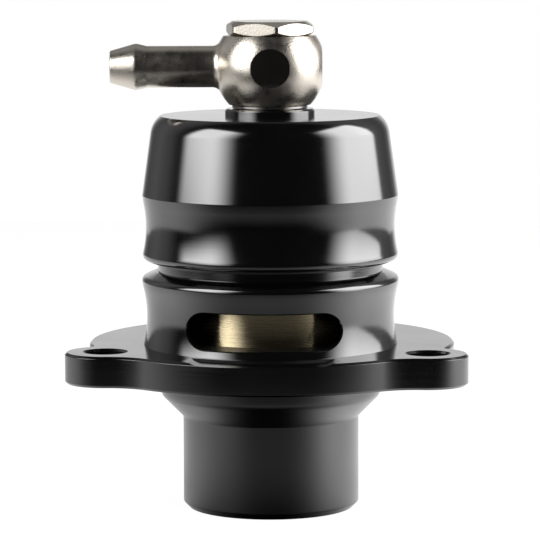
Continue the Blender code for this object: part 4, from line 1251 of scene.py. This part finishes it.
class StageOperator(bpy.types.Operator):
    """Set the camera, the two tall soft lamps, the floor and the white surround"""

    bl_idname = "valve.stage"
    bl_label = "Stage"

    def execute(self, context):
        stage = context.scene.valve_stage
        context.scene.view_settings.view_transform = "Standard"
        self.camera(context.scene, stage)
        turn = math.degrees(stage.heading)
        for name, heading, *shape in (
            ("left_soft_lamp", -58.0, (0.41, 0.2, 0.56), (0.0, 0.145, 0.45), -12.0, stage.left_lamp),
            ("right_soft_lamp", 81.0, (0.47, 0.42, 0.9), (-0.14, 0.15, 0.45), 12.0, stage.right_lamp),
        ):
            self.lamp(name, turn + heading, *shape)
        self.floor()
        self.surround(context.scene, stage)
        return {"FINISHED"}

    def camera(self, scene, stage):
        """A long lens in front of the valve, looking a little down."""
        camera = bpy.data.objects.new("camera", bpy.data.cameras.new("camera"))
        scene.collection.objects.link(camera)
        camera.data.lens = stage.lens
        camera.data.sensor_width = 36.0
        camera.data.shift_x = stage.aside
        camera.data.clip_start = 0.01
        camera.data.clip_end = 20.0
        h, p, r = stage.heading, stage.pitch, stage.roll
        ahead = Vector((-math.sin(h), math.cos(h), 0.0))
        level_right = Vector((math.cos(h), math.sin(h), 0.0))
        look = ahead * math.cos(p) + Vector((0.0, 0.0, -math.sin(p)))
        up = ahead * math.sin(p) + Vector((0.0, 0.0, math.cos(p)))
        right = level_right * math.cos(r) - up * math.sin(r)
        up = up * math.cos(r) + level_right * math.sin(r)
        matrix = Matrix((right, up, -look)).transposed().to_4x4()
        matrix.translation = Vector((0.0, AXIS_Y, stage.height)) - ahead * stage.distance
        camera.matrix_world = matrix
        scene.camera = camera

    def lamp(self, name, heading, breadth, rise, lean, brightness):
        """A tall soft lamp beside the valve at a heading off the front, dimmer at its edges.

        The breadth is its width and the shares of it where full strength starts and ends. The
        rise is where it starts to glow, where it is at full strength and where it ends. The
        lean is how many degrees its top tips to the right.
        """
        width, near, far = breadth
        low, full, high = rise
        bottom = max(low, 0.0)
        height = high - bottom
        light = bpy.data.lights.new(name, "AREA")
        light.shape = "RECTANGLE"
        light.size, light.size_y = width, height
        light.energy = brightness * math.pi * width * height
        graph = Graph(light)
        face = graph.add("SeparateXYZ", {"Vector": graph.add("NewGeometry", {})["Parametric"]})
        edges = (
            ("X", 0.0, near),
            ("X", 1.0, far),
            ("Y", (low - bottom) / height, (full - bottom) / height),
            ("Y", 1.0, 0.85),
        )
        glow = graph.product(*(graph.softly(face[side], 0.0, 1.0, *edge) for side, *edge in edges))
        graph.fill(graph.nodes["Emission"], {"Strength": glow})
        lamp = bpy.data.objects.new(name, light)
        bpy.context.scene.collection.objects.link(lamp)
        turn = math.radians(heading)
        outward = Vector((math.sin(turn), -math.cos(turn), 0.0))
        lamp.location = Vector((0.0, AXIS_Y, (bottom + high) / 2)) + LAMP_DISTANCE * outward
        tip = Quaternion((0.0, 0.0, 1.0), math.radians(lean))
        lamp.rotation_euler = (outward.to_track_quat("Z", "Y") @ tip).to_euler()

    def floor(self):
        """A plain pale sheet under the valve that keeps its shadow.

        Reflections see a painted glow on it, not its lit face: painted light beside and behind the
        valve, by the sheet's bearing about the valve axis, and painted shade in front of it, darkest
        at its foot, where it stands for the valve's shadow, and far off.
        """
        x, y = np.array([-0.35, 0.35]), np.array([-0.25, 0.5])
        grid = np.stack(np.meshgrid(x, y, indexing="ij") + [np.zeros((2, 2))], axis=2)
        mesh = bpy.data.meshes.new("floor")
        mesh.from_pydata(grid.reshape(-1, 3).tolist(), [], [(0, 2, 3, 1)])
        floor = bpy.data.objects.new("floor", mesh)
        bpy.context.scene.collection.objects.link(floor)
        material = bpy.data.materials.new("pale_floor")
        graph = Graph(material, clear=True)
        place = graph.add("TexCoord", {})["Object"]
        from_axis = graph.add("VectorMath", {0: place, 1: (0.0, -AXIS_Y, 0.0)})["Vector"]
        bearing = graph.add("VectorMath", {0: from_axis}, operation="NORMALIZE")["Vector"]
        heading = graph.add("SeparateXYZ", {"Vector": bearing})
        metres = graph.add("SeparateXYZ", {"Vector": from_axis})
        reach = graph.add("VectorMath", {0: from_axis}, operation="LENGTH")["Value"]
        # Painted light: the glow that reflections see grows towards the sides and the back of the valve.
        beside = graph.product(
            graph.softly(heading["Y"], 0.0, 1.0, -1.0, 0.1),
            graph.softly(heading["X"], 0.9, 1.5, -1.0, 1.0),
            graph.softly(metres["Y"], 0.1, 1.0, -0.2, -0.07),
        )
        # Painted light and painted shadow in front: a dim ring of glow that is dark at the valve's foot,
        # standing for its shadow, and dark far off.
        before = graph.product(
            graph.softly(reach, 0.0, 0.22, 0.028, 0.06),
            graph.softly(reach, 1.0, 0.0, 0.07, 0.21),
        )
        level = graph.add("Math", {0: beside, 1: before})["Value"]
        path = graph.add("LightPath", {})
        seen = graph.product(path["Is Camera Ray"], 0.8)
        diffuse = graph.add("BsdfDiffuse", {"Color": (0.85, 0.85, 0.85, 1.0)})["BSDF"]
        white = graph.add("Emission", {"Strength": 1.14})["Emission"]
        # Glossy rays see this painted light and shade in place of the lit floor.
        mirrored = graph.add("Emission", {"Strength": level})["Emission"]
        plain = graph.add("MixShader", {"Fac": seen, 1: diffuse, 2: white})["Shader"]
        both = graph.add("MixShader", {"Fac": path["Is Glossy Ray"], 1: plain, 2: mirrored})["Shader"]
        graph.add("OutputMaterial", {"Surface": both})
        mesh.materials.append(material)

    def surround(self, scene, stage):
        """White behind the valve for the camera and for reflections, dark in front of it."""
        scene.world = bpy.data.worlds.new("surround")
        graph = Graph(scene.world, clear=True)
        place = graph.add("TexCoord", {})["Generated"]
        ramp = graph.nodes.new("ShaderNodeValToRGB")
        graph.fill(ramp, {"Fac": graph.add("SeparateXYZ", {"Vector": place})["Y"]})
        stops = ramp.color_ramp.elements
        stops[0].position, stops[0].color = 0.0, (0.01, 0.01, 0.01, 1.0)
        stops[1].position, stops[1].color = 0.97, (1.0, 1.0, 1.0, 1.0)
        for position, level in ((0.26, 0.24), (0.56, 0.32), (0.82, 0.16), (0.91, 0.28)):
            stops.new(position).color = (level, level, level, 1.0)
        path = graph.add("LightPath", {})
        bounced = {0: path["Is Glossy Ray"], 1: path["Is Transmission Ray"]}
        shown = graph.add("Math", bounced, operation="MAXIMUM")["Value"]
        pure = (1.0, 1.0, 1.0, 1.0)
        plain = graph.add("Background", {"Color": pure, "Strength": stage.ambient})["Background"]
        mirrored = graph.add("Background", {"Color": ramp.outputs["Color"]})["Background"]
        white = graph.add("Background", {"Color": pure})["Background"]
        around = graph.add("MixShader", {"Fac": shown, 1: plain, 2: mirrored})["Shader"]
        both = graph.add("MixShader", {"Fac": path["Is Camera Ray"], 1: around, 2: white})["Shader"]
        graph.add("OutputWorld", {"Surface": both})


OPERATORS = (
    BodyOperator,
    CapOperator,
    PistonOperator,
    SealsOperator,
    SpringOperator,
    WashersOperator,
    BanjoOperator,
    BoltOperator,
    StageOperator,
)


class ValvePanel(bpy.types.Panel):
    """Buttons for every piece of the valve"""

    bl_idname = "VIEW3D_PT_blow_off_valve"
    bl_label = "Blow off valve"
    bl_space_type = "VIEW_3D"
    bl_region_type = "UI"
    bl_category = "Valve"

    def draw(self, context):
        for operator in OPERATORS:
            self.layout.operator(operator.bl_idname)


def register():
    """Add the settings, operators and panel."""
    for name, group in SETTINGS.items():
        bpy.utils.register_class(group)
        setattr(bpy.types.Scene, name, PointerProperty(type=group))
    for operator in OPERATORS:
        bpy.utils.register_class(operator)
    bpy.utils.register_class(ValvePanel)


def unregister():
    """Take the settings, operators and panel out again."""
    bpy.utils.unregister_class(ValvePanel)
    for operator in reversed(OPERATORS):
        bpy.utils.unregister_class(operator)
    for name, group in SETTINGS.items():
        delattr(bpy.types.Scene, name)
        bpy.utils.unregister_class(group)


def main():
    """Build every piece and the stage."""
    register()
    bpy.ops.valve.body()
    bpy.ops.valve.cap()
    bpy.ops.valve.piston()
    bpy.ops.valve.seals()
    bpy.ops.valve.spring()
    bpy.ops.valve.washers()
    bpy.ops.valve.banjo()
    bpy.ops.valve.bolt()
    bpy.ops.valve.stage()


if __name__ == "__main__":
    main()
